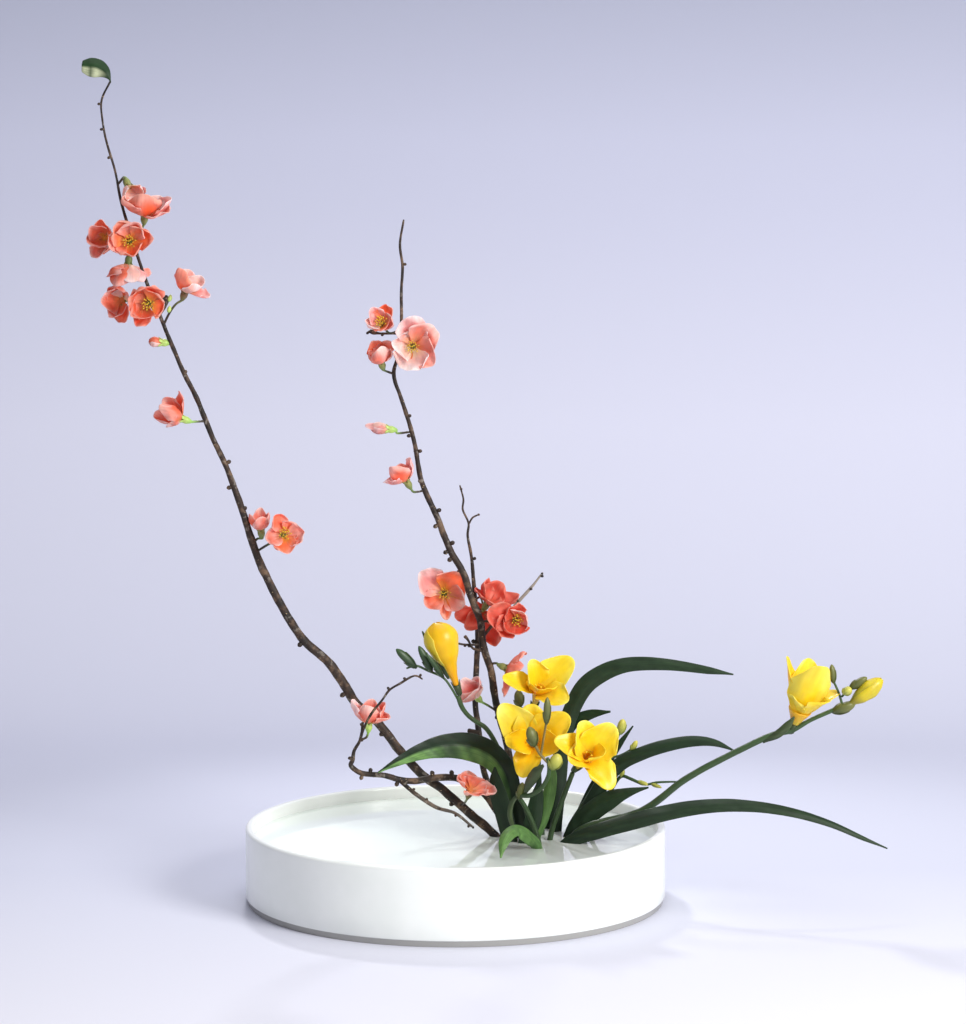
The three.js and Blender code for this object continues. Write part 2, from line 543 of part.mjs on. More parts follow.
// Each bloom: where its petals start, the way it faces, the twig from its branch to its calyx, and
// the tips of its petals as [x, y, z, half width].
const TALL = 'quince_branch_tall';
const UPRIGHT = 'quince_branch_upright';
const CROOKED = 'quince_branch_crooked';
const QUINCE_BLOOMS = [
  {
    branch: TALL, seat: [-226, -66, 522], facing: [0.1, -0.35, 0.93], color: 'coral',
    twig: [[-234, -60, 500], [-229, -62, 512]],
    tips: [
      [-239, -76, 537, 6], [-224, -84, 539, 8], [-215, -60, 537, 7], [-206, -70, 536, 6],
      [-208, -84, 524, 6],
    ],
  },
  {
    branch: TALL, seat: [-236, -76, 504], facing: [0, -1, 0.05], color: 'coral', stamens: true,
    twig: [[-235, -60, 502], [-236, -66, 504]],
    tips: [
      [-246, -88, 515, 8.5], [-231, -88, 519, 8.5], [-220, -86, 510, 8], [-235, -90, 493, 8],
      [-250, -88, 502, 7.5],
    ],
  },
  {
    branch: TALL, seat: [-255, -62, 506], facing: [-0.5, -0.85, 0.1], color: 'coral',
    twig: [[-237, -60, 507], [-245, -58, 505]],
    tips: [
      [-258, -70, 519, 7.5], [-265, -72, 513, 7.5], [-267, -72, 502, 8],
      [-262, -72, 492, 7.5], [-253, -76, 497, 7],
    ],
  },
  {
    branch: TALL, seat: [-239, -57, 488], facing: [-0.1, -0.05, -0.98], color: 'coral',
    twig: [[-232, -58, 496], [-236, -63, 496]],
    tips: [
      [-256, -60, 484, 9], [-248, -70, 475, 9], [-237, -73, 475, 6.5], [-230, -68, 477, 6],
      [-227, -43, 486, 6],
    ],
  },
  {
    branch: TALL, seat: [-223, -70, 459], facing: [-0.1, -0.95, -0.1], color: 'red', stamens: true,
    twig: [[-220, -54, 458], [-223, -58, 458]],
    tips: [
      [-226, -82, 474, 9.5], [-236, -82, 463, 8.5], [-232, -80, 450, 7], [-212, -76, 463, 8],
      [-230, -78, 442, 5],
    ],
  },
  {
    branch: TALL, seat: [-243, -58, 461], facing: [-0.5, -0.85, -0.15], color: 'coral',
    twig: [[-224, -54, 466], [-233, -52, 463]],
    tips: [
      [-252, -66, 470, 7.5], [-258, -68, 460, 8], [-250, -68, 447, 7.5], [-243, -66, 444, 7],
      [-242, -64, 469, 6],
    ],
  },
  {
    branch: TALL, seat: [-198, -56, 466], facing: [0.35, -0.25, 0.9], color: 'coral',
    twig: [[-211, -52, 444], [-209, -52, 452], [-204, -54, 458]],
    tips: [
      [-200, -64, 484, 6.5], [-195, -48, 481, 6], [-186, -50, 477, 5.5],
      [-180, -60, 463, 4.5], [-189, -68, 473, 5],
    ],
  },
  {
    branch: TALL, seat: [-216, -50, 429], facing: [-0.97, -0.2, 0.1], color: 'coral', bud: [9.5, 4.2],
    twig: [[-208, -49, 425]],
    tips: [],
  },
  {
    branch: TALL, seat: [-201, -46, 372], facing: [-0.95, -0.2, 0.35], color: 'coral',
    twig: [[-186, -44, 369]],
    tips: [
      [-204, -46, 393, 6], [-217, -40, 386, 6.5], [-223, -46, 376, 6.5],
      [-213, -50, 368, 6.5], [-218, -56, 383, 6],
    ],
  },
  {
    branch: TALL, seat: [-145, -30, 287], facing: [-0.1, -0.2, 0.95], color: 'coral',
    twig: [[-150, -27, 277], [-147, -29, 281]],
    tips: [[-153, -34, 300, 5], [-146, -26, 304, 5.5], [-139, -33, 301, 5], [-144, -42, 299, 5.5]],
  },
  {
    branch: TALL, seat: [-128, -42, 285], facing: [0.25, -0.85, 0.35], color: 'coral', stamens: true,
    twig: [[-148, -27, 272], [-141, -33, 276]],
    tips: [
      [-111, -48, 285, 7], [-117, -42, 293, 6.5], [-132, -46, 301, 6], [-140, -50, 282, 6],
      [-125, -52, 272, 7],
    ],
  },
  {
    branch: UPRIGHT, seat: [-55, 20, 438], facing: [-0.25, -0.8, 0.5], color: 'coral', stamens: true,
    twig: [[-44, 31, 433], [-50, 28, 431]],
    tips: [
      [-64, 14, 450, 6], [-52, 16, 453, 6.5], [-47, 10, 442, 6], [-56, 8, 435, 6.5],
      [-67, 12, 440, 5.5],
    ],
  },
  {
    branch: UPRIGHT, seat: [-56, 18, 409], facing: [-0.25, -0.45, 0.85], color: 'coral',
    twig: [[-49, 30, 400], [-52, 26, 402]],
    tips: [
      [-67, 14, 418, 6], [-62, 24, 426, 6.5], [-52, 26, 426, 6], [-47, 16, 419, 6],
      [-57, 2, 422, 7],
    ],
  },
  {
    branch: UPRIGHT, seat: [-32, 12, 422], facing: [-0.05, -1, 0], color: 'pale', stamens: true,
    twig: [[-42, 31, 422], [-34, 22, 421]],
    tips: [
      [-45, 4, 424, 9.5], [-32, 6, 446, 10.5], [-15, 4, 436, 11], [-17, 2, 413, 11.5],
      [-35, 3, 405, 11],
    ],
  },
  {
    branch: UPRIGHT, seat: [-51, 26, 358], facing: [-1, -0.05, 0.12], color: 'coral', bud: [14, 5],
    twig: [[-40, 29, 354], [-45, 28, 355]],
    tips: [[-69, 24, 361, 3.5]],
  },
  {
    branch: UPRIGHT, seat: [-37, 22, 318], facing: [-0.5, -0.2, 0.85], color: 'coral',
    twig: [[-29, 29, 308], [-32, 26, 310]],
    tips: [[-36, 22, 337, 5.5], [-49, 14, 331, 7.5], [-54, 18, 319, 7], [-44, 30, 331, 6]],
  },
  {
    branch: UPRIGHT, seat: [-9, 46, 229], facing: [0, -1, 0.1], color: 'coral', stamens: true,
    twig: [[2, 28, 250], [1, 44, 245], [-2, 54, 234]],
    tips: [
      [-24, 36, 246, 11.5], [0, 36, 248, 11.5], [6, 36, 229, 10.5], [-21, 36, 222, 9.5],
      [-7, 40, 211, 4.5],
    ],
  },
  {
    branch: UPRIGHT, seat: [24, 44, 221], facing: [0.5, -0.2, 0.8], color: 'red',
    twig: [[18, 28, 220], [20, 40, 216]],
    tips: [
      [15, 40, 234, 6.5], [24, 44, 243, 8.5], [36, 52, 238, 8], [49, 50, 228, 7.5],
      [36, 36, 221, 8],
    ],
  },
  {
    branch: UPRIGHT, seat: [45, 24, 212], facing: [0.3, -0.9, 0], color: 'red', stamens: true,
    twig: [[19, 28, 210], [34, 31, 210]],
    tips: [
      [24, 15, 219, 9], [45, 13, 225, 8], [55, 14, 215, 8.5], [45, 9, 201, 9],
      [31, 9, 204, 8],
    ],
  },
  {
    branch: UPRIGHT, seat: [38, 22, 175], facing: [0.8, -0.2, -0.3], color: 'coral',
    twig: [[28, 26, 177], [32, 24, 178]],
    tips: [[55, 22, 187, 6.5], [52, 12, 177, 6.5], [50, 24, 162, 7], [37, 22, 152, 5.5]],
  },
  {
    branch: UPRIGHT, seat: [16, 14, 154], facing: [-0.5, -0.7, 0.45], color: 'pale',
    twig: [[30, 26, 140], [26, 22, 145]],
    tips: [[5, 8, 167, 7], [16, 8, 170, 7], [4, 4, 154, 7], [11, 0, 150, 7], [20, 4, 161, 6]],
  },
  {
    branch: CROOKED, seat: [-65, -29, 140], facing: [0.05, -0.1, 0.97], color: 'coral',
    twig: [[-71, -41, 130], [-67, -36, 131]],
    tips: [
      [-76, -27, 159, 5], [-63, -25, 159, 6.5], [-53, -28, 157, 6], [-50, -33, 148, 5.5],
      [-66, -36, 156, 6.5],
    ],
  },
  {
    branch: TALL, seat: [11, -26, 88], facing: [0.3, -0.45, 0.85], color: 'coral', stamens: true,
    twig: [[5, 2, 71], [7, -9, 76]],
    tips: [
      [1, -26, 101, 7], [10, -14, 102, 7], [22, -18, 96, 7], [31, -30, 91, 7],
      [20, -44, 87, 7.5],
    ],
  },
  {
    branch: UPRIGHT, seat: [20, 52, 215], facing: [-0.15, -0.75, -0.55], color: 'red',
    twig: [[19, 28, 227], [19, 46, 226]],
    tips: [
      [-1, 46, 212, 8], [9, 45, 201, 7], [32, 44, 189, 9], [34, 44, 206, 7],
      [14, 50, 222, 5],
    ],
  },
  {
    branch: TALL, seat: [-238, -64, 545], facing: [0.4, -0.35, -0.85], color: 'pale',
    twig: [[-243, -71, 544], [-241, -68, 550]],
    tips: [[-227, -60, 538, 7], [-237, -66, 535, 6.5], [-231, -54, 537, 6]],
  },
];

const CENTRE_STEM = 'freesia_stem_centre';
// Each bloom: the foot of its funnel, the way it faces and the tips of its tepals.
const FREESIA_BLOOMS = [
  {
    stem: CENTRE_STEM, foot: [60, -4, 151], facing: [0.15, -0.75, 0.65],
    tips: [
      [35, -34, 176, 8], [57, -30, 189, 10], [72, -14, 183, 9], [89, -20, 189, 11.5],
      [83, -44, 154, 10.5], [64, -50, 158, 9],
    ],
  },
  {
    stem: CENTRE_STEM, foot: [61, -13, 120], facing: [-0.1, -0.9, 0.3],
    tips: [
      [33, -44, 157, 11], [58, -36, 157, 11.5], [87, -42, 148, 11.5], [79, -54, 126, 10],
      [50, -50, 103, 9.5], [37, -56, 132, 9],
    ],
  },
  {
    stem: 'freesia_stem_low', foot: [92, -27, 107], facing: [0.35, -0.75, 0.5],
    tips: [
      [95, -46, 146, 11.5], [118, -42, 143, 12], [112, -62, 115, 9], [117, -54, 95, 9.5],
      [83, -62, 114, 8.5], [74, -54, 133, 9],
    ],
  },
  { stem: 'freesia_stem_left', foot: [1, -6, 166], facing: [-0.265, -0.05, 0.96], closed: true },
  {
    stem: 'freesia_stem_right', foot: [256, -22, 139], facing: [0.3, -0.25, 0.9],
    tips: [
      [248, -26, 190, 6.5], [263, -12, 181, 9], [275, -24, 187, 11], [285, -30, 166, 9.5],
      [279, -42, 155, 9], [248, -42, 162, 9.5],
    ],
  },
];

const FREESIA_STEMS = [
  {
    name: 'freesia_stem_left',
    path: [
      [60, 17, 12, 2.2], [58, 15, 48, 2.2], [42, 6, 89, 2], [32, 3, 117, 1.9], [23, 1, 132, 1.9],
      [16, -1, 137, 1.8], [10, -3, 142, 1.8], [5, -5, 149, 1.9], [2, -6, 158, 2],
    ],
    side: [
      [[4, -5, 151, 1], [-3, -7, 164, 1], [-9, -8, 172, 1], [-21, -10, 178, 1], [-30, -12, 182, 1],
        [-37, -13, 180, 0.8]],
    ],
    buds: [
      [[-18, -12, 178], [-0.44, -0.15, 0.9], 22, 3.2], [[-30, -13, 181], [-0.7, -0.2, 0.7], 21, 3.4],
      [[-9, -13, 173], [-0.55, -0.3, 0.85], 24, 2.2],
    ],
  },
  {
    name: CENTRE_STEM,
    path: [
      [66, 8, 12, 2.4], [66, 8, 48, 2.4], [64, 6, 80, 2.3], [63, 4, 112, 2.1], [62, 8, 130, 1.9],
      [59, 3, 145, 1.8],
    ],
    side: [[[61, 6, 138, 1.2], [54, 8, 143, 1], [49, 9, 147, 1]]],
    buds: [[[49, 9, 147], [-0.1, 0, 1], 13, 4]],
  },
  {
    name: 'freesia_stem_front',
    path: [
      [65, -28, 12, 2.2], [63, -30, 50, 2.1], [53, -37, 78, 1.9], [48, -43, 88, 1.8],
      [56, -51, 90, 1.8], [65, -60, 98, 1.7], [70, -66, 110, 1.6], [69, -68, 122, 1.3],
    ],
    side: [
      [[69, -67, 118, 1.2], [64, -68, 126, 1], [60, -69, 131, 1]],
      [[69, -68, 121, 1], [72, -69, 134, 0.9], [73, -70, 146, 1]],
    ],
    buds: [
      [[60, -69, 131], [-0.25, -0.1, 0.95], 13, 3.2], [[73, -70, 146], [-0.02, -0.1, 1], 17, 2.6],
      [[48, -43, 86], [0.2, -0.3, 0.95], 14, 3.2],
    ],
    blades: [
      {
        path: [
          [49, -43, 90, 1.2], [43, -45, 84, 1.8], [41, -46, 75, 2], [43, -46, 66, 1.6],
          [46, -44, 58, 0.8],
        ],
        steps: 6, facing: [-0.3, -0.9, 0.2],
      },
      {
        path: [[52, -47, 90, 1.2], [55, -55, 100, 4], [60, -62, 109, 4.6], [66, -66, 116, 1]],
        steps: 6, facing: [-0.2, -0.85, 0.4],
      },
    ],
  },
  {
    name: 'freesia_stem_low',
    path: [[71, -12, 12, 2.2], [72, -12, 49, 2.2], [81, -19, 80, 2], [89, -21, 102, 1.9]],
  },
  {
    name: 'freesia_stem_right',
    path: [
      [82, -12, 12, 3], [91, -12, 52, 3], [142, -14, 71, 2.9], [175, -16, 96, 2.7],
      [212, -19, 117, 2.5], [241, -21, 131, 2.4], [254, -21, 134, 2.2], [268, -22, 142, 1.7],
      [283, -23, 149, 1.7], [294, -24, 154, 1.8], [299.2, -24.4, 155.4, 0.9],
    ],
    side: [
      [[292, -24, 153, 1.1], [291, -24, 161, 1], [287, -24, 168, 0.9]],
      [[290, -24, 158, 1], [297, -25, 165, 1]],
    ],
    buds: [
      [[286, -24, 167], [-0.25, 0, 0.95], 12, 2.2], [[296, -25, 165], [0.85, -0.1, 0.45], 14, 2.4],
      [[291, -25, 162], [0.5, -0.7, 0.3], 7, 2.4], [[284, -23, 149], [0.85, -0.05, 0.15], 16, 3.4],
    ],
    blades: [
      {
        path: [[232, -22, 125, 1], [243, -26, 132, 3.2], [250, -29, 139, 3], [255, -31, 146, 0.8]],
        steps: 5, facing: [-0.1, -0.95, 0.3],
      },
    ],
  },
  {
    name: 'freesia_stem_buds',
    path: [[84, 12, 12, 2], [85, 15, 46, 2], [103, 15, 78, 1.7], [115, 12, 100, 1.4], [119, 10, 109, 1.2]],
    side: [
      [[118, 10, 107, 1.1], [127, 8, 110, 0.9], [135, 6, 115, 0.9]],
      [[116, 12, 102, 1.1], [122, 7, 118, 1], [125, 3, 128, 1]],
    ],
    buds: [[[134, 6, 114], [0.5, -0.2, 0.85], 9, 2.2], [[125, 3, 127], [0.2, -0.3, 0.9], 13, 3.6]],
  },
  {
    name: 'freesia_stem_spike',
    path: [
      [97, 22, 12, 1.9], [100, 22, 45, 1.9], [115, 16, 73, 1.6], [127, 10, 93, 1.4], [133, 6, 92, 1.3],
      [145, 2, 88, 1.1], [153, 0, 90, 1], [171, -2, 91, 0.7],
    ],
    buds: [
      [[127, 10, 92], [0.1, -0.3, 0.9], 9, 1.8], [[139, 4, 90], [0.8, -0.3, -0.2], 9, 1.8],
      [[149, 1, 89], [0.9, -0.3, -0.3], 9, 1.5],
    ],
  },
];

const LEAVES = [
  {
    name: 'leaf_arching_back', steps: 13, facing: [0.1, -0.92, 0.4], fold: 0.2, color: 'leaf',
    path: [
      [77, 18, 12, 4], [77, 18, 46, 4.5], [80, 19, 89, 5.5], [82, 20, 116, 6], [88, 20, 140, 6.5],
      [99, 20, 161, 7], [112, 20, 171, 6.8], [130, 18, 178, 6], [159, 15, 179, 4.8],
      [193, 10, 175, 3], [212, 8, 172, 0.6],
    ],
  },
  {
    name: 'leaf_arching_right', steps: 11, facing: [0, -0.85, 0.5], fold: 0.3, color: 'leaf',
    path: [
      [92, 4, 12, 4], [94, 4, 48, 4.5], [107, 4, 80, 5.5], [125, 2, 104, 5.8], [142, 0, 113, 5.5],
      [159, -2, 119, 5.2], [181, -4, 123, 4.5], [197, -6, 122, 3], [212, -8, 116, 0.6],
    ],
  },
  {
    name: 'leaf_trailing_right', steps: 14, facing: [0, -0.8, 0.6], fold: 0.3, color: 'leaf',
    path: [
      [64, -20, 12, 4.5], [74, -22, 33, 5], [87, -25, 50, 5.5], [109, -28, 59, 6.5],
      [139, -30, 68, 7], [157, -31, 73, 6.8], [191, -33, 79, 6], [224, -35, 79, 4.8],
      [256, -37, 74, 3.8], [282, -38, 66, 2.8], [307, -39, 55, 1.8], [326, -40, 47, 0.6],
    ],
  },
  {
    name: 'leaf_arching_left', steps: 13, facing: [-0.1, -0.85, 0.45], fold: 0.45, color: 'leaf',
    path: [
      [49, -6, 12, 4.5], [50, -6, 47, 5], [44, -6, 76, 7], [38, -8, 99, 9], [27, -12, 114, 10.5],
      [10, -16, 122, 11], [-8, -20, 123, 9.5], [-27, -25, 119, 6.5], [-43, -29, 112, 3.6],
      [-58, -33, 104, 0.6],
    ],
  },
  {
    name: 'leaf_short_front', steps: 10, facing: [-0.2, -0.75, 0.6], fold: 0.4, color: 'youngLeaf',
    path: [
      [62, -41, 12, 3.5], [62, -44, 46, 4], [56, -54, 59, 5.5], [46, -64, 67, 6],
      [40, -73, 66, 5.5], [36, -80, 60, 4], [34, -87, 50, 0.6],
    ],
  },
  {
    name: 'leaf_broad_left', steps: 8, facing: [-0.2, -0.95, 0.2], fold: 0.25, color: 'leaf',
    path: [
      [42, -20, 12, 5], [41, -20, 48, 6], [37, -20, 68, 7], [32, -20, 86, 6.5], [30, -21, 98, 4],
      [30, -21, 106, 0.8],
    ],
  },
  {
    name: 'leaf_tall_back', steps: 11, facing: [0, -0.95, 0.3], fold: 0.2, color: 'leaf',
    path: [
      [70, 30, 12, 4], [71, 30, 46, 4.5], [77, 30, 87, 5], [82, 30, 114, 5.2], [89, 29, 130, 5],
      [103, 26, 138, 4], [119, 22, 141, 0.8],
    ],
  },
  {
    name: 'leaf_straight_right', steps: 9, facing: [0.2, -0.95, 0.2], fold: 0.2, color: 'leaf',
    path: [
      [90, 30, 12, 3], [91, 30, 44, 3.2], [103, 26, 76, 3.4], [115, 22, 98, 3.2], [125, 19, 115, 2.6],
      [136, 16, 131, 0.6],
    ],
  },
  {
    name: 'leaf_broad_right', steps: 10, facing: [0.1, -0.8, 0.55], fold: 0.25, color: 'leaf',
    path: [
      [84, -2, 12, 5], [88, -3, 48, 6], [99, -4, 64, 8], [115, -6, 77, 8], [131, -8, 84, 4],
      [147, -9, 88, 0.7],
    ],
  },
  {
    name: 'leaf_upright_centre', steps: 10, facing: [0, -1, 0.1], fold: 0.3, color: 'youngLeaf',
    path: [
      [58, -14, 12, 3.5], [60, -15, 48, 4], [66, -17, 65, 4.8], [71, -19, 84, 5], [73, -22, 100, 4],
      [74, -24, 108, 0.7],
    ],
  },
  {
    name: 'leaf_dark_centre', steps: 8, facing: [0.1, -1, 0.1], fold: 0.25, color: 'leaf',
    path: [[51, -25, 12, 4.5], [53, -25, 48, 5.5], [59, -25, 66, 6.5], [62, -26, 84, 5], [64, -28, 100, 0.8]],
  },
  {
    name: 'quince_leaf', steps: 6, facing: [0.1, -0.6, 0.8], fold: 0.3, color: 'youngLeaf', free: true,
    path: [
      [-248.4, -80.3, 620.8, 0.8], [-252, -81, 629, 4.5], [-258, -81, 633, 6.5], [-265, -81, 636, 4.5],
      [-271, -80, 637, 0.7],
    ],
  },
];

// -------------------------------------------------------------------------------------- assembly
/** Holes for everything that enters the water: the stems and blades, made fatter by the margin. */
function waterHoles() {
  const stems = [...QUINCE_BRANCHES, ...FREESIA_STEMS]
    .map(({ path }) => tube(corners(path), SIDES.stem, HOLE_MARGIN));
  return [...stems, ...LEAVES.filter((one) => !one.free).map(bladeHole)];
}

/** Places between the pins that stems and blades stand in. */
function footprints() {
  const rooted = [...QUINCE_BRANCHES, ...FREESIA_STEMS, ...LEAVES.filter((one) => !one.free)];
  return rooted.flatMap(({ path }) => stations(path, 60).filter(({ at }) => at.z < WATER_LEVEL));
}

const group = new THREE.Group();
group.add(mesh('bowl', bowl(), 'porcelain'));
group.add(mesh('water', water(waterHoles()), 'water'));
group.add(mesh('pin_holder', pinHolder(footprints()), 'lead'));
for (const branch of QUINCE_BRANCHES) group.add(mesh(branch.name, quinceBranch(branch), 'bark'));
QUINCE_BLOOMS.forEach((bloom, i) => {
  group.add(mesh(`quince_bloom_${String(i + 1).padStart(2, '0')}`, quinceBloom(bloom), bloom.color));
});
for (const stem of FREESIA_STEMS) group.add(mesh(stem.name, freesiaStem(stem), 'stem'));
FREESIA_BLOOMS.forEach((bloom, i) => {
  group.add(mesh(`freesia_bloom_${i + 1}`, freesiaBloom(bloom), 'yellow'));
});
group.add(mesh('freesia_bud_yellow', bud([300.5, -24.5, 156.5], [0.72, -0.05, 0.6], 27, 4.6), 'yellow'));
for (const blade of LEAVES) {
  const solid = leaf(blade);
  group.add(mesh(blade.name, blade.free ? solid : trimmed(solid), blade.color));
}

export default group;
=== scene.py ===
"""Ikebana arrangement in a shallow round bowl, dressed for rendering.

Flowering quince branches, freesias and sword-shaped leaves stand on a pin holder in water. Every
piece is built here in millimetres and set down in metres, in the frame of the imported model.
"""
from __future__ import annotations

import logging
import math
from dataclasses import dataclass, field, replace
from enum import Enum
from functools import partial
from typing import Any, Callable, Sequence

import bmesh
import bpy
from bpy.types import Light, Material, Node, NodeSocket, NodeTree, Object
from mathutils import Euler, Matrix, Quaternion, Vector, noise

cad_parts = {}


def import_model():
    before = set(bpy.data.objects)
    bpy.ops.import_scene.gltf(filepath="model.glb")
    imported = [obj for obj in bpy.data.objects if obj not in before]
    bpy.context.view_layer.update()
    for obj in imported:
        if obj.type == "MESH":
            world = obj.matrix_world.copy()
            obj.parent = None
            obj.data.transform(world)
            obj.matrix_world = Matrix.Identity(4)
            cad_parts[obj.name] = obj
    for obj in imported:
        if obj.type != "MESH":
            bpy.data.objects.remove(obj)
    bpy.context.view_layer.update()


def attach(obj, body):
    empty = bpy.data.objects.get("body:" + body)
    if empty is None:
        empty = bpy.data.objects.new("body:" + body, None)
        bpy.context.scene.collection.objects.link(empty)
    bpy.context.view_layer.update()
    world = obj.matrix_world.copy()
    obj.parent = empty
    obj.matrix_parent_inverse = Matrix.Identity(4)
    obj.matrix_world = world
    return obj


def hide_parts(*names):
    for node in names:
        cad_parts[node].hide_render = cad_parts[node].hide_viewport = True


LOG = logging.getLogger("ikebana")
MM = 0.001
BODY = "root"
# the top of the pin holder's plate, in mm: stems and leaves start there
PLATE_TOP = 18.9

Triple = tuple[float, float, float]
Station = tuple[float, float, float, float]
Colour = tuple[float, float, float, float]
Spot = tuple[float, float]
Adder = Callable[..., Node]


# -------- colours
def linear(code: str) -> Colour:
    """Turns an sRGB hex value such as "#d84a33" into a linear colour.

    Args:
        code: the hex value, with its leading #.

    Returns:
        Red, green, blue and alpha, linear.
    """
    parts = [int(code[i : i + 2], 16) / 255 for i in (1, 3, 5)]
    red, green, blue = (c / 12.92 if c <= 0.04045 else ((c + 0.055) / 1.055) ** 2.4 for c in parts)
    return red, green, blue, 1.0


def grey(value: float) -> Colour:
    """A neutral colour of one value."""
    return value, value, value, 1.0


def blended(first: Colour, second: Colour, share: float) -> Colour:
    """The colour that lies a share of the way from the first to the second."""
    share = min(max(share, 0.0), 1.0)
    return tuple(a + (b - a) * share for a, b in zip(first, second))


def eased(low: float, high: float, value: float) -> float:
    """A smooth step from 0 at low to 1 at high."""
    share = min(max((value - low) / (high - low), 0.0), 1.0)
    return share * share * (3 - 2 * share)


class Tone(Enum):
    """Colours of one petal: its blade, its rim and the part near the heart."""

    CORAL = ("#f8805f", "#fdcac0", "#ef8f4e")
    ORANGE = ("#fb7b49", "#fcc0ae", "#f3a53e")
    DEEP = ("#f2643d", "#f9b09e", "#c8703a")
    SALMON = ("#f78f79", "#fedbd4", "#f4a878")
    PINK = ("#f6a39d", "#fee6e4", "#f5b98c")
    BLUSH = ("#f9c8bd", "#fef0ee", "#f8deb4")
    RED = ("#e44f37", "#f39480", "#d4532e")
    LEMON = ("#ffe424", "#fff36c", "#ffd418")
    GOLD = ("#ffd714", "#ffea46", "#fdc314")
    AMBER = ("#fecd10", "#ffe23a", "#fbb510")
    YELLOW_BUD = ("#f1d92c", "#bdb036", "#8f8a32")

    def colours(self) -> list[Colour]:
        """The blade's, the rim's and the heart's colour, linear."""
        return [linear(code) for code in self.value]


# each tone also by its own name
CORAL, ORANGE, DEEP, SALMON, PINK, BLUSH, RED, LEMON, GOLD, AMBER, YELLOW_BUD = Tone


class Tissue(Enum):
    """Colours of stems, cups, buds and blades, from foot to tip."""

    LIME = ("#93bd5c", "#bcd072")
    OLIVE = ("#6d8248", "#8f8a4c")
    DARK = ("#43552f", "#6c7a42")
    RUSTY = ("#6f7443", "#7d4f35")
    STEM = ("#22351b", "#38522a")
    BRACT = ("#24351d", "#46552e")
    BUD = ("#1b2c18", "#34502a")
    OLIVE_BUD = ("#3a4720", "#6f7035")
    PALE_BUD = ("#73873f", "#c2ba4e")
    BLADE = ("#111f15", "#1d331b")
    GREY_BLADE = ("#142318", "#263a22")
    FRESH_BLADE = ("#2a4a26", "#688f4c")
    QUINCE_BLADE = ("#152c18", "#22411f")
    LEAF_BACK = ("#76845f", "#b7bc9b")
    CUT_STALK = ("#5b4a26", "#7b6a34")

    def colours(self) -> list[Colour]:
        """The colours at the foot and at the tip, linear."""
        return [linear(code) for code in self.value]


# -------- nodes
def add(
    tree: NodeTree, kind: str, links: dict[Any, Any] | None = None,
    stops: Sequence[tuple[float, Colour]] = (), **settings: Any,
) -> Node:
    """Adds one node with its settings and links.

    Args:
        tree: the node tree that it goes into.
        kind: the node's type.
        links: for each input's name or number, a value, or the socket or node that feeds it. A
            node feeds it from its first output, and a list holds several for one input.
        stops: place and colour of each stop, for a colour ramp.
        settings: attributes of the node, such as operation.

    Returns:
        The new node.
    """
    node = tree.nodes.new(kind)
    for name, value in settings.items():
        setattr(node, name, value)
    for key, value in (links or {}).items():
        for source in value if isinstance(value, list) else [value]:
            if isinstance(source, Node):
                source = source.outputs[0]
            if isinstance(source, NodeSocket):
                tree.links.new(source, node.inputs[key])
            else:
                node.inputs[key].default_value = source
    for number, (place, colour) in enumerate(stops):
        elements = node.color_ramp.elements
        element = elements[number] if number < len(elements) else elements.new(place)
        element.position, element.color = place, colour
    return node


# -------- finishes
class Finish:
    """A finish of the arrangement: a material, and the shader that each kind builds for it."""

    name: str

    def shader(self, new: Adder) -> Node:
        """Builds the finish's nodes, and gives back the one that feeds the surface."""
        raise NotImplementedError

    def material(self) -> Material:
        """The finished material.

        Returns:
            A new material, named after the finish.
        """
        material = bpy.data.materials.new(self.name)
        material.use_nodes = True
        tree = material.node_tree
        tree.nodes.clear()
        add(tree, "ShaderNodeOutputMaterial", {"Surface": self.shader(partial(add, tree))})
        return material


@dataclass(frozen=True)
class GlazedStoneware(Finish):
    """White glaze over stoneware: glassy and a little uneven, with its foot painted grey as painted
    shade for the recess under the bowl.
    """

    name: str = "glazed_white_stoneware"
    glaze: str = "#f3f6f2"
    # painted shade: grey for the shade in the recess under the bowl
    thin_glaze: str = "#edf1ec"
    painted_foot_shade: str = "#a9a8a4"
    foot_height: float = 4.6 * MM
    roughness: float = 0.2

    def shader(self, new: Adder) -> Node:
        """Glaze above the foot, and grey below it as painted shade for the recess under the bowl.

        Args:
            new: adds a node to the material's tree.

        Returns:
            The node that feeds the surface.
        """
        place = new("ShaderNodeTexCoord").outputs["Object"]
        # glaze pools unevenly over some 40 mm, and its surface ripples like the peel of an orange
        pool = new("ShaderNodeTexNoise", {"Vector": place, "Scale": 25.0, "Detail": 3.0})
        ripple = new("ShaderNodeTexNoise", {"Vector": place, "Scale": 220.0, "Detail": 2.0})
        tint = new(
            "ShaderNodeValToRGB", {"Fac": pool},
            stops=[(0.35, linear(self.thin_glaze)), (0.65, linear(self.glaze))],
        )
        height = new("ShaderNodeSeparateXYZ", {"Vector": place}).outputs["Z"]
        # painted shade: everything below the foot's height is painted grey, for the shaded recess under
        # the bowl
        above = new("ShaderNodeMath", {0: height, 1: self.foot_height}, operation="GREATER_THAN")
        colour = new("ShaderNodeMix", {0: above, 6: linear(self.painted_foot_shade), 7: tint}, data_type="RGBA")
        rough = new(
            "ShaderNodeMapRange",
            {"Value": pool, "To Min": self.roughness, "To Max": self.roughness + 0.1},
        )
        bump = new("ShaderNodeBump", {"Strength": 0.06, "Distance": 0.2 * MM, "Height": ripple})
        return new(
            "ShaderNodeBsdfPrincipled",
            {
                "Base Color": colour.outputs[2], "Roughness": rough, "Normal": bump, "IOR": 1.52,
                "Coat Weight": 0.3, "Coat Roughness": 0.08,
            },
        )


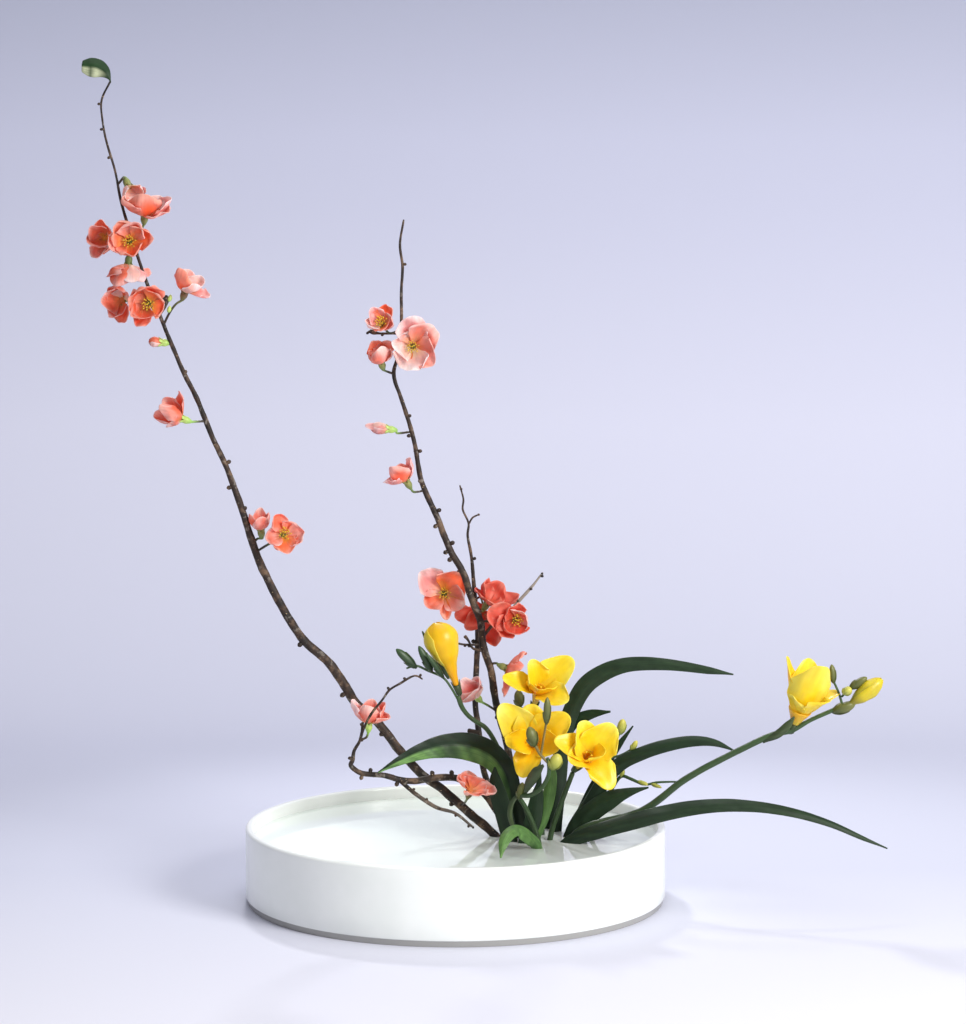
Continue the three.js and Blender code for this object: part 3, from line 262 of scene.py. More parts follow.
@dataclass(frozen=True)
class StillWater(Finish):
    """Still water, a little cloudy: it hides the pins and mirrors the leaves at a low angle."""

    name: str = "still_water"
    tint: str = "#eef4f0"
    ior: float = 1.5
    clearness: float = 0.3

    def shader(self, new: Adder) -> Node:
        """Cloudy glass, which lets light pass where it would only cast a shadow.

        Args:
            new: adds a node to the material's tree.

        Returns:
            The node that feeds the surface.
        """
        place = new("ShaderNodeTexCoord").outputs["Object"]
        # the least ripple, some 30 mm long, keeps mirrored stems from being ruler-straight
        ripple = new("ShaderNodeTexNoise", {"Vector": place, "Scale": 35.0, "Detail": 1.0})
        bump = new("ShaderNodeBump", {"Strength": 0.12, "Distance": 0.4 * MM, "Height": ripple})
        glass = new(
            "ShaderNodeBsdfPrincipled",
            {
                "Base Color": linear(self.tint), "Roughness": 0.02, "IOR": self.ior,
                "Transmission Weight": self.clearness, "Normal": bump,
            },
        )
        clear = new("ShaderNodeBsdfTransparent", {"Color": linear(self.tint)})
        shadow = new("ShaderNodeLightPath").outputs["Is Shadow Ray"]
        return new("ShaderNodeMixShader", {0: shadow, 1: glass, 2: clear})


@dataclass(frozen=True)
class Mottled(Finish):
    """A plain surface mottled in two colours: lead, brass and the cork of the lenticels."""

    name: str
    dull: str
    fresh: str
    scale: float
    detail: float
    low: float
    high: float
    metal: float
    roughness: float
    relief: float = 0.0

    def shader(self, new: Adder) -> Node:
        """Mottled colour, and relief where it has some.

        Args:
            new: adds a node to the material's tree.

        Returns:
            The node that feeds the surface.
        """
        place = new("ShaderNodeTexCoord").outputs["Object"]
        blotch = new(
            "ShaderNodeTexNoise", {"Vector": place, "Scale": self.scale, "Detail": self.detail}
        )
        colour = new(
            "ShaderNodeValToRGB", {"Fac": blotch},
            stops=[(self.low, linear(self.dull)), (self.high, linear(self.fresh))],
        )
        links = {"Base Color": colour, "Metallic": self.metal, "Roughness": self.roughness}
        if self.relief:
            links["Normal"] = new(
                "ShaderNodeBump",
                {"Strength": self.relief, "Distance": 0.3 * MM, "Height": blotch},
            )
        return new("ShaderNodeBsdfPrincipled", links)


# cast lead is dull grey, mottled where it has oxidised
CAST_LEAD = Mottled("cast_lead", "#5f6261", "#8d8f8c", 140.0, 4.0, 0.35, 0.65, 0.85, 0.55, 0.3)
# drawn brass wire, ground to a point: the pins
DRAWN_BRASS = Mottled("drawn_brass", "#8f7440", "#c4a25a", 90.0, 2.0, 0.3, 0.7, 1.0, 0.35)
# lenticels are the raised pale pores of the bark
PALE_CORK = Mottled("lenticel_cork", "#7d6549", "#b59f80", 1500.0, 2.0, 0.3, 0.7, 0.0, 0.8)


@dataclass(frozen=True)
class QuinceBark(Finish):
    """Smooth young bark: dark brown with tan and silver-grey patches of weathering."""

    name: str = "quince_bark"
    dark: str = "#1b1511"
    brown: str = "#35261c"
    tan: str = "#6d5642"
    silver: str = "#9a9186"

    def shader(self, new: Adder) -> Node:
        """Patches some 8 mm long, a silver film over them and wrinkles of about 1 mm.

        Args:
            new: adds a node to the material's tree.

        Returns:
            The node that feeds the surface.
        """
        place = new("ShaderNodeTexCoord").outputs["Object"]
        patch = new("ShaderNodeTexNoise", {"Vector": place, "Scale": 120.0, "Detail": 5.0})
        film = new(
            "ShaderNodeTexNoise",
            {"Vector": place, "Scale": 210.0, "Detail": 3.0, "Distortion": 0.6},
        )
        wrinkle = new("ShaderNodeTexNoise", {"Vector": place, "Scale": 900.0, "Detail": 4.0})
        browns = zip((0.36, 0.54, 0.68, 0.82), (self.dark, self.brown, self.tan, self.brown))
        base = new(
            "ShaderNodeValToRGB", {"Fac": patch},
            stops=[(at, linear(brown)) for at, brown in browns],
        )
        silvered = new(
            "ShaderNodeValToRGB", {"Fac": film}, stops=[(0.58, grey(0.0)), (0.72, grey(0.55))]
        )
        # the twig's tint: pale weathered bark, and on the crooked branch's twig a painted highlight
        weathering_and_highlight = new("ShaderNodeAttribute", attribute_name="tint")
        pale = new("ShaderNodeMath", {0: silvered, 1: weathering_and_highlight}, operation="MAXIMUM")
        colour = new("ShaderNodeMix", {0: pale, 6: base, 7: linear(self.silver)}, data_type="RGBA")
        bump = new("ShaderNodeBump", {"Strength": 0.7, "Distance": 0.25 * MM, "Height": wrinkle})
        return new(
            "ShaderNodeBsdfPrincipled",
            {
                "Base Color": colour.outputs[2], "Roughness": 0.62, "Normal": bump,
                "Specular IOR Level": 0.4,
            },
        )


@dataclass(frozen=True)
class PlantSkin(Finish):
    """Living plant tissue. Its colour is painted on the mesh, and veins run along it.

    The veins follow the piece's own UV map: U across the blade and V along it.
    """

    name: str
    veins: float
    contrast: float
    roughness: float
    relief: float
    glow: float = 0.0
    glow_reach: float = 2.0 * MM
    sheen: float = 0.0
    coat: float = 0.0
    mottle: float = 0.08
    through: float = 0.0
    specular: float = 0.5

    def shader(self, new: Adder) -> Node:
        """Painted colour, darker and lighter along the veins, and light that comes through it.

        Args:
            new: adds a node to the material's tree.

        Returns:
            The node that feeds the surface.
        """
        tint = new("ShaderNodeAttribute", attribute_name="tint")
        place = new("ShaderNodeTexCoord").outputs["Object"]
        flow = new("ShaderNodeUVMap", uv_map="flow")
        drawn_out = new("ShaderNodeMapping", {"Vector": flow, "Scale": (self.veins, 1.6, 1.0)})
        vein = new(
            "ShaderNodeTexNoise",
            {"Vector": drawn_out, "Scale": 1.0, "Detail": 2.0, "Roughness": 0.6},
        )
        cells = new("ShaderNodeTexNoise", {"Vector": place, "Scale": 160.0, "Detail": 3.0})
        lines, spots = (
            new(
                "ShaderNodeMapRange",
                {
                    "Value": source, "From Min": 0.3, "From Max": 0.7, "To Min": 1 - swing,
                    "To Max": 1 + swing,
                },
            )
            for source, swing in ((vein, self.contrast), (cells, self.mottle))
        )
        shade = new("ShaderNodeMath", {0: lines, 1: spots}, operation="MULTIPLY")
        colour = new(
            "ShaderNodeMix", {0: 1.0, 6: tint, 7: shade},
            data_type="RGBA", blend_type="MULTIPLY",
        ).outputs[2]
        rough = new(
            "ShaderNodeMapRange",
            {"Value": cells, "To Min": self.roughness - 0.08, "To Max": self.roughness + 0.08},
        )
        bump = new(
            "ShaderNodeBump",
            {"Strength": self.relief, "Distance": 0.3 * MM, "Height": vein},
        )
        surface = new(
            "ShaderNodeBsdfPrincipled",
            {
                "Base Color": colour, "Roughness": rough, "Normal": bump,
                "Subsurface Weight": self.glow, "Subsurface Radius": (1.0, 0.45, 0.3),
                "Subsurface Scale": self.glow_reach, "Sheen Weight": self.sheen,
                "Sheen Roughness": 0.5, "Coat Weight": self.coat, "Coat Roughness": 0.2,
                "Specular IOR Level": self.specular,
            },
        )
        shone_through = new("ShaderNodeBsdfTranslucent", {"Color": colour})
        return new("ShaderNodeMixShader", {0: self.through, 1: surface, 2: shone_through})


# soft, thin petals with a faint velvet: light goes through them and comes out warmer
QUINCE_PETAL = PlantSkin(
    "quince_petal", veins=9.0, contrast=0.09, roughness=0.55, relief=0.2, glow=0.15, sheen=0.15,
    mottle=0.05, through=0.36,
)
# waxy tepals that shine on their ridges
FREESIA_TEPAL = PlantSkin(
    "freesia_tepal", veins=7.0, contrast=0.06, roughness=0.4, relief=0.15, glow=0.15, coat=0.15,
    mottle=0.04, through=0.28,
)
# leathery blades with close parallel veins and a dull shine
SWORD_BLADE = PlantSkin(
    "sword_leaf_blade", veins=26.0, contrast=0.26, roughness=0.45, relief=0.35, mottle=0.14,
    specular=0.28,
)
# smooth, juicy stems, cups and buds
GREEN_STEM = PlantSkin(
    "green_stem", veins=8.0, contrast=0.14, roughness=0.45, relief=0.15, mottle=0.1
)


@dataclass(frozen=True)
class PollenAndThread(Finish):
    """Stamens: pale threads that end in anthers thick with yellow pollen."""

    name: str = "stamen_thread_and_pollen"
    thread: str = "#e2b465"
    pollen: str = "#ecd23c"
    shaded_pollen: str = "#cf9f1c"

    def shader(self, new: Adder) -> Node:
        """Pollen where the mesh says anther, and thread elsewhere.

        Args:
            new: adds a node to the material's tree.

        Returns:
            The node that feeds the surface.
        """
        tip = new("ShaderNodeAttribute", attribute_name="anther").outputs["Fac"]
        place = new("ShaderNodeTexCoord").outputs["Object"]
        grain = new("ShaderNodeTexNoise", {"Vector": place, "Scale": 1600.0, "Detail": 1.0})
        dust = new(
            "ShaderNodeValToRGB", {"Fac": grain},
            stops=[(0.3, linear(self.shaded_pollen)), (0.6, linear(self.pollen))],
        )
        colour = new("ShaderNodeMix", {0: tip, 6: linear(self.thread), 7: dust}, data_type="RGBA")
        return new("ShaderNodeBsdfPrincipled", {"Base Color": colour.outputs[2], "Roughness": 0.6})


@dataclass
class Finishes:
    """Every material of the arrangement's pieces, made once."""

    stoneware: Material = field(default_factory=GlazedStoneware().material)
    water: Material = field(default_factory=StillWater().material)
    lead: Material = field(default_factory=CAST_LEAD.material)
    brass: Material = field(default_factory=DRAWN_BRASS.material)
    bark: Material = field(default_factory=QuinceBark().material)
    cork: Material = field(default_factory=PALE_CORK.material)
    petal: Material = field(default_factory=QUINCE_PETAL.material)
    tepal: Material = field(default_factory=FREESIA_TEPAL.material)
    blade: Material = field(default_factory=SWORD_BLADE.material)
    stem: Material = field(default_factory=GREEN_STEM.material)
    stamen: Material = field(default_factory=PollenAndThread().material)


# -------- mesh building
def carried(tangents: Sequence[Vector]) -> list[Vector]:
    """Side directions square to each tangent, carried along the line without twisting.

    Args:
        tangents: the line's direction at each station.

    Returns:
        A direction for each.
    """
    normal = Vector((0.2, 1.0, 0.1))
    result = []
    for tangent in tangents:
        normal = (normal - tangent * normal.dot(tangent)).normalized()
        result.append(normal)
    return result


def spokes(axis: Vector, angles: Sequence[float]) -> list[Vector]:
    """Directions square to an axis, at angles round it in radians."""
    turn = Vector((0.0, 0.0, 1.0)).rotation_difference(axis)
    return [turn @ Vector((math.cos(angle), math.sin(angle), 0.0)) for angle in angles]


def all_round(count: int) -> list[float]:
    """Angles in radians that part a circle evenly."""
    return [2 * math.pi * i / count for i in range(count)]


def across(count: int) -> list[float]:
    """Places from -1 to 1 across a sheet."""
    return [2 * j / (count - 1) - 1 for j in range(count)]


def along(profile: Sequence[Spot], share: float) -> float:
    """A profile's value at a share of the way, smoothed between its points.

    Args:
        profile: share and value of each point.
        share: where the value is wanted.

    Returns:
        The value.
    """
    for (start, low), (end, high) in zip(profile, profile[1:]):
        if share <= end:
            return low + (high - low) * eased(start, end, share)
    return profile[-1][1]


@dataclass
class Track:
    """A smooth line with a size at each station: places, directions and sizes."""

    places: list[Vector]
    tangents: list[Vector]
    sizes: list[float]

    @classmethod
    def through(cls, points: Sequence[Station], step: float) -> Track:
        """A smooth line through points.

        Args:
            points: x, y, z and size of each.
            step: distance between stations, in mm.

        Returns:
            The line, sampled.
        """
        knots = [Vector(p[:3]) for p in points]
        knots = [knots[0] * 2 - knots[1], *knots, knots[-1] * 2 - knots[-2]]
        sizes = [p[3] for p in (points[0], *points, points[-1])]
        places, widths = [], []
        for i in range(1, len(knots) - 2):
            count = max(2, round((knots[i + 1] - knots[i]).length / step))
            for j in range(count):
                places.append(cls._between(knots, i, j / count))
                widths.append(cls._width(sizes, i, j / count))
        places.append(knots[-2])
        widths.append(sizes[-2])
        last = len(places) - 1
        ways = [places[min(i + 1, last)] - places[max(i - 1, 0)] for i in range(last + 1)]
        return cls(places, [way.normalized() for way in ways], widths)

    @staticmethod
    def _between(knots: Sequence[Vector], i: int, share: float) -> Vector:
        """A point of the centripetal Catmull-Rom curve between knots i and i + 1.

        Args:
            knots: the line's knots.
            i: the number of the one before the point.
            share: how far the point is on the way to the next.

        Returns:
            The point.
        """
        a, b, c, d = knots[i - 1 : i + 3]
        t1, ahead, beyond = (max(way.length, 1e-3) ** 0.5 for way in (b - a, c - b, d - c))
        t2, t3 = t1 + ahead, t1 + ahead + beyond
        t = t1 + (t2 - t1) * share
        ab = a.lerp(b, t / t1)
        bc = b.lerp(c, share)
        cd = c.lerp(d, (t - t2) / (t3 - t2))
        return ab.lerp(bc, t / t2).lerp(bc.lerp(cd, (t - t1) / (t3 - t1)), share)

    @staticmethod
    def _width(sizes: Sequence[float], i: int, share: float) -> float:
        """A smooth size between knots i and i + 1, never outside the two.

        Args:
            sizes: the size at each knot.
            i: the number of the knot before the place.
            share: how far the place is on the way to the next.

        Returns:
            The size.
        """
        a, b, c, d = sizes[i - 1 : i + 3]
        first, last = (c - a) / 2, (d - b) / 2
        cube, square = share**3, share**2
        smooth = (
            (2 * cube - 3 * square + 1) * b + (cube - 2 * square + share) * first
            + (3 * square - 2 * cube) * c + (cube - square) * last
        )
        return min(max(smooth, min(b, c)), max(b, c))

    def above_plate(self) -> Track:
        """The part of the line that is above the pin holder's plate."""
        first = next(i for i, place in enumerate(self.places) if place.z >= PLATE_TOP)
        return Track(self.places[first:], self.tangents[first:], self.sizes[first:])

    def nearest(self, place: Sequence[float]) -> Vector:
        """The station's place that is nearest to another place."""
        return min(self.places, key=lambda own: (own - Vector(place)).length)

    def nearest_seen(self, x: float, z: float) -> int:
        """The number of the station nearest to x and z, whatever its depth."""
        gaps = [math.hypot(own.x - x, own.z - z) for own in self.places]
        return gaps.index(min(gaps))


@dataclass
class Draft:
    """Points, faces, colours and UVs of one piece, gathered in millimetres."""

    points: list[Vector] = field(default_factory=list)
    tints: list[Colour] = field(default_factory=list)
    faces: list[tuple[int, ...]] = field(default_factory=list)
    flows: list[tuple[Spot, ...]] = field(default_factory=list)
    slots: list[int] = field(default_factory=list)

    def _face(self, corners: Sequence[int], flow: Sequence[Spot], slot: int) -> None:
        """Adds one face.

        Args:
            corners: the numbers of its points.
            flow: the UV at each.
            slot: the material slot.
        """
        self.faces.append(tuple(corners))
        self.flows.append(tuple(flow))
        self.slots.append(slot)

    def sheet(
        self, rows: Sequence[Sequence[Vector]], tints: Sequence[Sequence[Colour]],
        thickness: float, slot: int = 0,
    ) -> None:
        """A thin closed sheet about rows of points, thinner towards its sides.

        Args:
            rows: the points, row by row from its foot to its tip.
            tints: the colour of each point.
            thickness: its greatest thickness, in mm.
            slot: the material slot.
        """
        count, width = len(rows), len(rows[0])
        start = len(self.points)
        for side in (0.5, -0.5):
            for i, row in enumerate(rows):
                for j, point in enumerate(row):
                    down = rows[min(i + 1, count - 1)][j] - rows[max(i - 1, 0)][j]
                    over = row[min(j + 1, width - 1)] - row[max(j - 1, 0)]
                    normal = over.cross(down).normalized()
                    edge = abs(2 * j / (width - 1) - 1)
                    self.points.append(point + normal * side * thickness * (1 - 0.45 * edge**3))
                    self.tints.append(tints[i][j])
        under = count * width
        flow = [(j / (width - 1), i / (count - 1)) for i in range(count) for j in range(width)]
        for i in range(count - 1):
            for j in range(width - 1):
                a = i * width + j
                quad = (a, a + 1, a + width + 1, a + width)
                spots = [flow[k] for k in quad]
                self._face([start + k for k in quad], spots, slot)
                self._face([start + under + k for k in reversed(quad)], spots[::-1], slot)
        loop = [*range(width), *range(2 * width - 1, under, width)]
        loop += [*range(under - 2, under - width - 1, -1), *range(under - 2 * width, 0, -width)]
        for a, b in zip(loop, loop[1:] + loop[:1]):
            self._face(
                [start + b, start + a, start + under + a, start + under + b],
                [flow[b], flow[a], flow[a], flow[b]], slot,
            )

    def loft(
        self, rings: Sequence[Sequence[Vector]], tints: Sequence[Colour], slot: int = 0
    ) -> None:
        """A closed form through rings of equal numbers of points, with a domed end at each end.

        Args:
            rings: the rings, from foot to tip.
            tints: the colour of each ring.
            slot: the material slot.
        """
        start, sides, count = len(self.points), len(rings[0]), len(rings)
        for ring, tint in zip(rings, tints):
            self.points.extend(ring)
            self.tints.extend([tint] * sides)
        for i in range(count - 1):
            for j in range(sides):
                a, b = start + i * sides + j, start + i * sides + (j + 1) % sides
                left, right = j / sides, (j + 1) / sides
                low, high = i / (count - 1), (i + 1) / (count - 1)
                spots = ((left, low), (right, low), (right, high), (left, high))
                self._face((a, b, b + sides, a + sides), spots, slot)
        for i, turned_round in ((0, True), (count - 1, False)):
            hub = len(self.points)
            self.points.append(sum(rings[i], Vector()) / sides)
            self.tints.append(tints[i])
            for j in range(sides):
                a, b = start + i * sides + j, start + i * sides + (j + 1) % sides
                pair = (b, a) if turned_round else (a, b)
                self._face((*pair, hub), [(j / sides, i / (count - 1))] * 3, slot)

    def tube(
        self, track: Track, sides: int, tints: Sequence[Colour], slot: int = 0, rough: float = 0.0
    ) -> None:
        """A round tube along a line.

        Args:
            track: the line and its radii.
            sides: points round it.
            tints: the colour of each station.
            slot: the material slot.
            rough: how far noise swells and pinches it, as a share of its radius.
        """
        rings = []
        for place, tangent, size, normal in zip(
            track.places, track.tangents, track.sizes, carried(track.tangents)
        ):
            binormal = tangent.cross(normal)
            ring = []
            for angle in all_round(sides):
                way = normal * math.cos(angle) + binormal * math.sin(angle)
                swell = 1.0
                if rough:
                    swell += rough * noise.noise((place + way * size) / 7.0)
                    swell += 0.7 * rough * noise.noise((place + way * size) / 2.2)
                ring.append(place + way * size * swell)
            rings.append(ring)
        self.loft(rings, tints, slot)

    def turned(
        self, at: Vector, axis: Vector, profile: Sequence[Spot], sides: int,
        tints: Sequence[Colour], slot: int = 0, lobes: int = 0, depth: float = 0.0,
    ) -> None:
        """A turned form.

        Args:
            at: where the profile starts.
            axis: the direction that it is turned about.
            profile: distance along the axis and radius of each ring.
            sides: points round it.
            tints: the colour of each ring.
            slot: the material slot.
            lobes: how many lobes it has round it.
            depth: how deep they are, as a share of the radius.
        """
        angles = all_round(sides)
        ways = [
            way * (1 + depth * math.cos(lobes * angle))
            for way, angle in zip(spokes(axis, angles), angles)
        ]
        rings = [[at + axis * distance + way * radius for way in ways] for distance, radius in profile]
        self.loft(rings, tints, slot)

    def made(self, name: str, materials: Sequence[Material], smoothing: int = 1) -> Object:
        """The gathered faces as an object in metres, with its colours, UVs and materials.

        Args:
            name: the object's name.
            materials: one for each slot.
            smoothing: levels of subdivision.

        Returns:
            The new object.
        """
        mesh = bpy.data.meshes.new(name)
        mesh.from_pydata([p * MM for p in self.points], [], self.faces)
        tint = mesh.attributes.new("tint", "FLOAT_COLOR", "POINT")
        tint.data.foreach_set("color", [value for colour in self.tints for value in colour])
        flow = mesh.uv_layers.new(name="flow")
        spots = [value for face in self.flows for spot in face for value in spot]
        flow.data.foreach_set("uv", spots)
        mesh.polygons.foreach_set("material_index", self.slots)
        mesh.polygons.foreach_set("use_smooth", [True] * len(self.faces))
        for material in materials:
            mesh.materials.append(material)
        shell = bmesh.new()
        shell.from_mesh(mesh)
        bmesh.ops.recalc_face_normals(shell, faces=shell.faces)
        shell.to_mesh(mesh)
        shell.free()
        made = linked(name, mesh)
        if smoothing:
            modifier = made.modifiers.new("smooth", "SUBSURF")
            modifier.levels = modifier.render_levels = smoothing
        return made


def linked(name: str, data: Any) -> Object:
    """A new object of the scene that holds the given mesh, lamp or camera."""
    made = bpy.data.objects.new(name, data)
    bpy.context.collection.objects.link(made)
    return made


def settle(piece: Object, slot: str, *nodes: str) -> None:
    """Rides a finished piece on the body, in place of the solids that it stands for.

    Args:
        piece: the finished object.
        slot: the record's material slot; not used.
        nodes: the solids that it replaces.
    """
    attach(piece, BODY)
    if nodes:
        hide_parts(*nodes)
    LOG.info("%s: %d faces, for %s", piece.name, len(piece.data.polygons), ", ".join(nodes))


# -------- geometry node trees
@dataclass
class GrowthTree:
    """A Geometry Nodes tree with named inputs, applied to a carrier mesh and then removed."""

    name: str
    inputs: dict[str, str]
    tree: NodeTree = field(init=False)
    new: Adder = field(init=False)
    given: Any = field(init=False)

    def __post_init__(self) -> None:
        """Makes the tree with its inputs: a geometry, the named ones and a material."""
        self.tree = bpy.data.node_groups.new(self.name, "GeometryNodeTree")
        new_socket = self.tree.interface.new_socket
        for name, kind in {"Geometry": "Geometry", **self.inputs, "Material": "Material"}.items():
            new_socket(name, in_out="INPUT", socket_type=f"NodeSocket{kind}")
        new_socket("Geometry", in_out="OUTPUT", socket_type="NodeSocketGeometry")
        self.new = partial(add, self.tree)
        self.given = self.new("NodeGroupInput").outputs

    def end(self, grown: Node) -> GrowthTree:
        """Ends the tree: what has grown becomes real geometry and takes its material.

        Args:
            grown: the node that gives the instances.

        Returns:
            The tree itself, ready to apply.
        """
        real = self.new("GeometryNodeRealizeInstances", {0: grown})
        links = {"Geometry": real, "Material": self.given["Material"]}
        self.new("NodeGroupOutput", {0: self.new("GeometryNodeSetMaterial", links)})
        return self

    def apply(self, carrier: Object, values: dict[str, Any]) -> None:
        """Runs the tree on an object and keeps the result as its plain mesh.

        Args:
            carrier: the object.
            values: for each named input, its value.
        """
        modifier = carrier.modifiers.new(self.name, "NODES")
        modifier.node_group = self.tree
        for item in self.tree.interface.items_tree:
            if item.item_type == "SOCKET" and item.in_out == "INPUT" and item.name in values:
                modifier[item.identifier] = values[item.name]
        graph = bpy.context.evaluated_depsgraph_get()
        graph.update()
        result = bpy.data.meshes.new_from_object(carrier.evaluated_get(graph))
        carrier.modifiers.clear()
        old, carrier.data = carrier.data, result
        bpy.data.meshes.remove(old)
        result.name = carrier.name


def stamen_tree() -> GrowthTree:
    """A tree that grows a cluster of stamens at each point, along its "axis" attribute.

    Returns:
        The tree.
    """
    floats = dict.fromkeys(("Spread", "Length", "Lean", "Thread", "Anther"), "Float")
    growth = GrowthTree("stamens", {"Count": "Int", **floats, "Seed": "Int"})
    new, given = growth.new, growth.given
    top = new("ShaderNodeCombineXYZ", {"Z": given["Length"]})
    line = new("GeometryNodeCurvePrimitiveLine", {"End": top})
    ring = new("GeometryNodeCurvePrimitiveCircle", {"Resolution": 5, "Radius": given["Thread"]})
    thread = new(
        "GeometryNodeCurveToMesh", {"Curve": line, "Profile Curve": ring, "Fill Caps": True}
    )
    ball = new("GeometryNodeMeshIcoSphere", {"Radius": given["Anther"], "Subdivisions": 2})
    lifted = new(
        "GeometryNodeTransform",
        {"Geometry": ball, "Translation": top, "Scale": (0.8, 0.8, 1.35)},
    )
    parts = [
        new(
            "GeometryNodeStoreNamedAttribute",
            {"Geometry": part, "Name": "anther", "Value": pollen},
            data_type="FLOAT", domain="POINT",
        )
        for part, pollen in ((thread, 0.0), (lifted, 1.0))
    ]
    stamen = new("GeometryNodeJoinGeometry", {0: parts})
    # places on a disc: the radius grows as the root of the number, the angle by the golden one
    places = new("GeometryNodePoints", {"Count": given["Count"]})
    number = new("GeometryNodeInputIndex")
    angle = new("ShaderNodeMath", {0: number, 1: 2.39996}, operation="MULTIPLY")
    share = new("ShaderNodeMath", {0: number, 1: given["Count"]}, operation="DIVIDE")
    root = new("ShaderNodeMath", {0: share}, operation="SQRT")
    cosine = new("ShaderNodeMath", {0: angle}, operation="COSINE")
    sine = new("ShaderNodeMath", {0: angle}, operation="SINE")
    around = new("ShaderNodeCombineXYZ", {"X": cosine, "Y": sine})
    spot, outward = (
        new(
            "ShaderNodeVectorMath",
            {0: around, "Scale": new("ShaderNodeMath", {0: root, 1: most}, operation="MULTIPLY")},
            operation="SCALE",
        )
        for most in (given["Spread"], given["Lean"])
    )
    placed = new("GeometryNodeSetPosition", {"Geometry": places, "Position": spot})
    jitter = new(
        "FunctionNodeRandomValue",
        {0: (-0.16, -0.16, 0.0), 1: (0.16, 0.16, 0.0), "Seed": given["Seed"]},
        data_type="FLOAT_VECTOR",
    )
    upward = new("ShaderNodeVectorMath", {0: outward, 1: (0.0, 0.0, 1.0)}, operation="ADD")
    way = new("ShaderNodeVectorMath", {0: upward, 1: jitter}, operation="ADD")
    turn = new("FunctionNodeAlignRotationToVector", {"Vector": way}, axis="Z")
    size = new(
        "FunctionNodeRandomValue", {2: 0.78, 3: 1.08, "Seed": given["Seed"]},
        data_type="FLOAT",
    )
    many = new(
        "GeometryNodeInstanceOnPoints",
        {"Points": placed, "Instance": stamen, "Rotation": turn, "Scale": size.outputs[1]},
    )
    axis = new("GeometryNodeInputNamedAttribute", {"Name": "axis"}, data_type="FLOAT_VECTOR")
    facing = new("FunctionNodeAlignRotationToVector", {"Vector": axis}, axis="Z")
    clusters = new(
        "GeometryNodeInstanceOnPoints",
        {"Points": given["Geometry"], "Instance": many, "Rotation": facing},
    )
    return growth.end(clusters)


def lenticel_tree() -> GrowthTree:
    """A tree that scatters lenticels over the bark of a branch, and leaves out the branch.

    Returns:
        The tree.
    """
    growth = GrowthTree("lenticels", {"Density": "Float", "Size": "Float", "Seed": "Int"})
    new, given = growth.new, growth.given
    number = new("GeometryNodeInputMaterialIndex")
    is_bark = new("FunctionNodeCompare", {2: number, 3: 0}, data_type="INT", operation="EQUAL")
    spots = new(
        "GeometryNodeDistributePointsOnFaces",
        {
            "Mesh": given["Geometry"], "Selection": is_bark, "Density": given["Density"],
            "Seed": given["Seed"],
        },
    )
    wart = new("GeometryNodeMeshIcoSphere", {"Radius": given["Size"], "Subdivisions": 1})
    flat = new("GeometryNodeTransform", {"Geometry": wart, "Scale": (1.3, 0.8, 0.4)})
    size = new(
        "FunctionNodeRandomValue", {2: 0.5, 3: 1.3, "Seed": given["Seed"]},
        data_type="FLOAT",
    )
    many = new(
        "GeometryNodeInstanceOnPoints",
        {
            "Points": spots, "Instance": flat, "Rotation": spots.outputs["Rotation"],
            "Scale": size.outputs[1],
        },
    )
    return growth.end(many)


def pin_tree() -> GrowthTree:
    """A tree that sets pins in a square grid inside a circle.

    Returns:
        The tree.
    """
    floats = dict.fromkeys(("Reach", "Length", "Radius", "Point"), "Float")
    growth = GrowthTree("pins", {"Rows": "Int", **floats, "Seat": "Vector"})
    new, given = growth.new, growth.given
    whole = new("ShaderNodeMath", {0: given["Reach"], 1: 2.0}, operation="MULTIPLY")
    grid = new(
        "GeometryNodeMeshGrid",
        {
            "Size X": whole, "Size Y": whole, "Vertices X": given["Rows"],
            "Vertices Y": given["Rows"],
        },
    )
    place = new("GeometryNodeInputPosition")
    far = new("ShaderNodeVectorMath", {0: place}, operation="LENGTH").outputs["Value"]
    outside = new(
        "FunctionNodeCompare", {0: far, 1: given["Reach"]},
        data_type="FLOAT", operation="GREATER_THAN",
    )
    inside = new(
        "GeometryNodeDeleteGeometry", {"Geometry": grid, "Selection": outside},
        domain="POINT",
    )
    pin = new(
        "GeometryNodeMeshCone",
        {
            "Vertices": 6, "Radius Top": given["Point"], "Radius Bottom": given["Radius"],
            "Depth": given["Length"],
        },
    )
    many = new("GeometryNodeInstanceOnPoints", {"Points": inside, "Instance": pin})
    moved = new("GeometryNodeTransform", {"Geometry": many, "Translation": given["Seat"]})
    return growth.end(moved)


# -------- petals
@dataclass(frozen=True)
class Petal:
    """One petal: where its tip is, how wide it is at its widest and its colours."""

    tip: Triple
    half: float
    tone: Tone


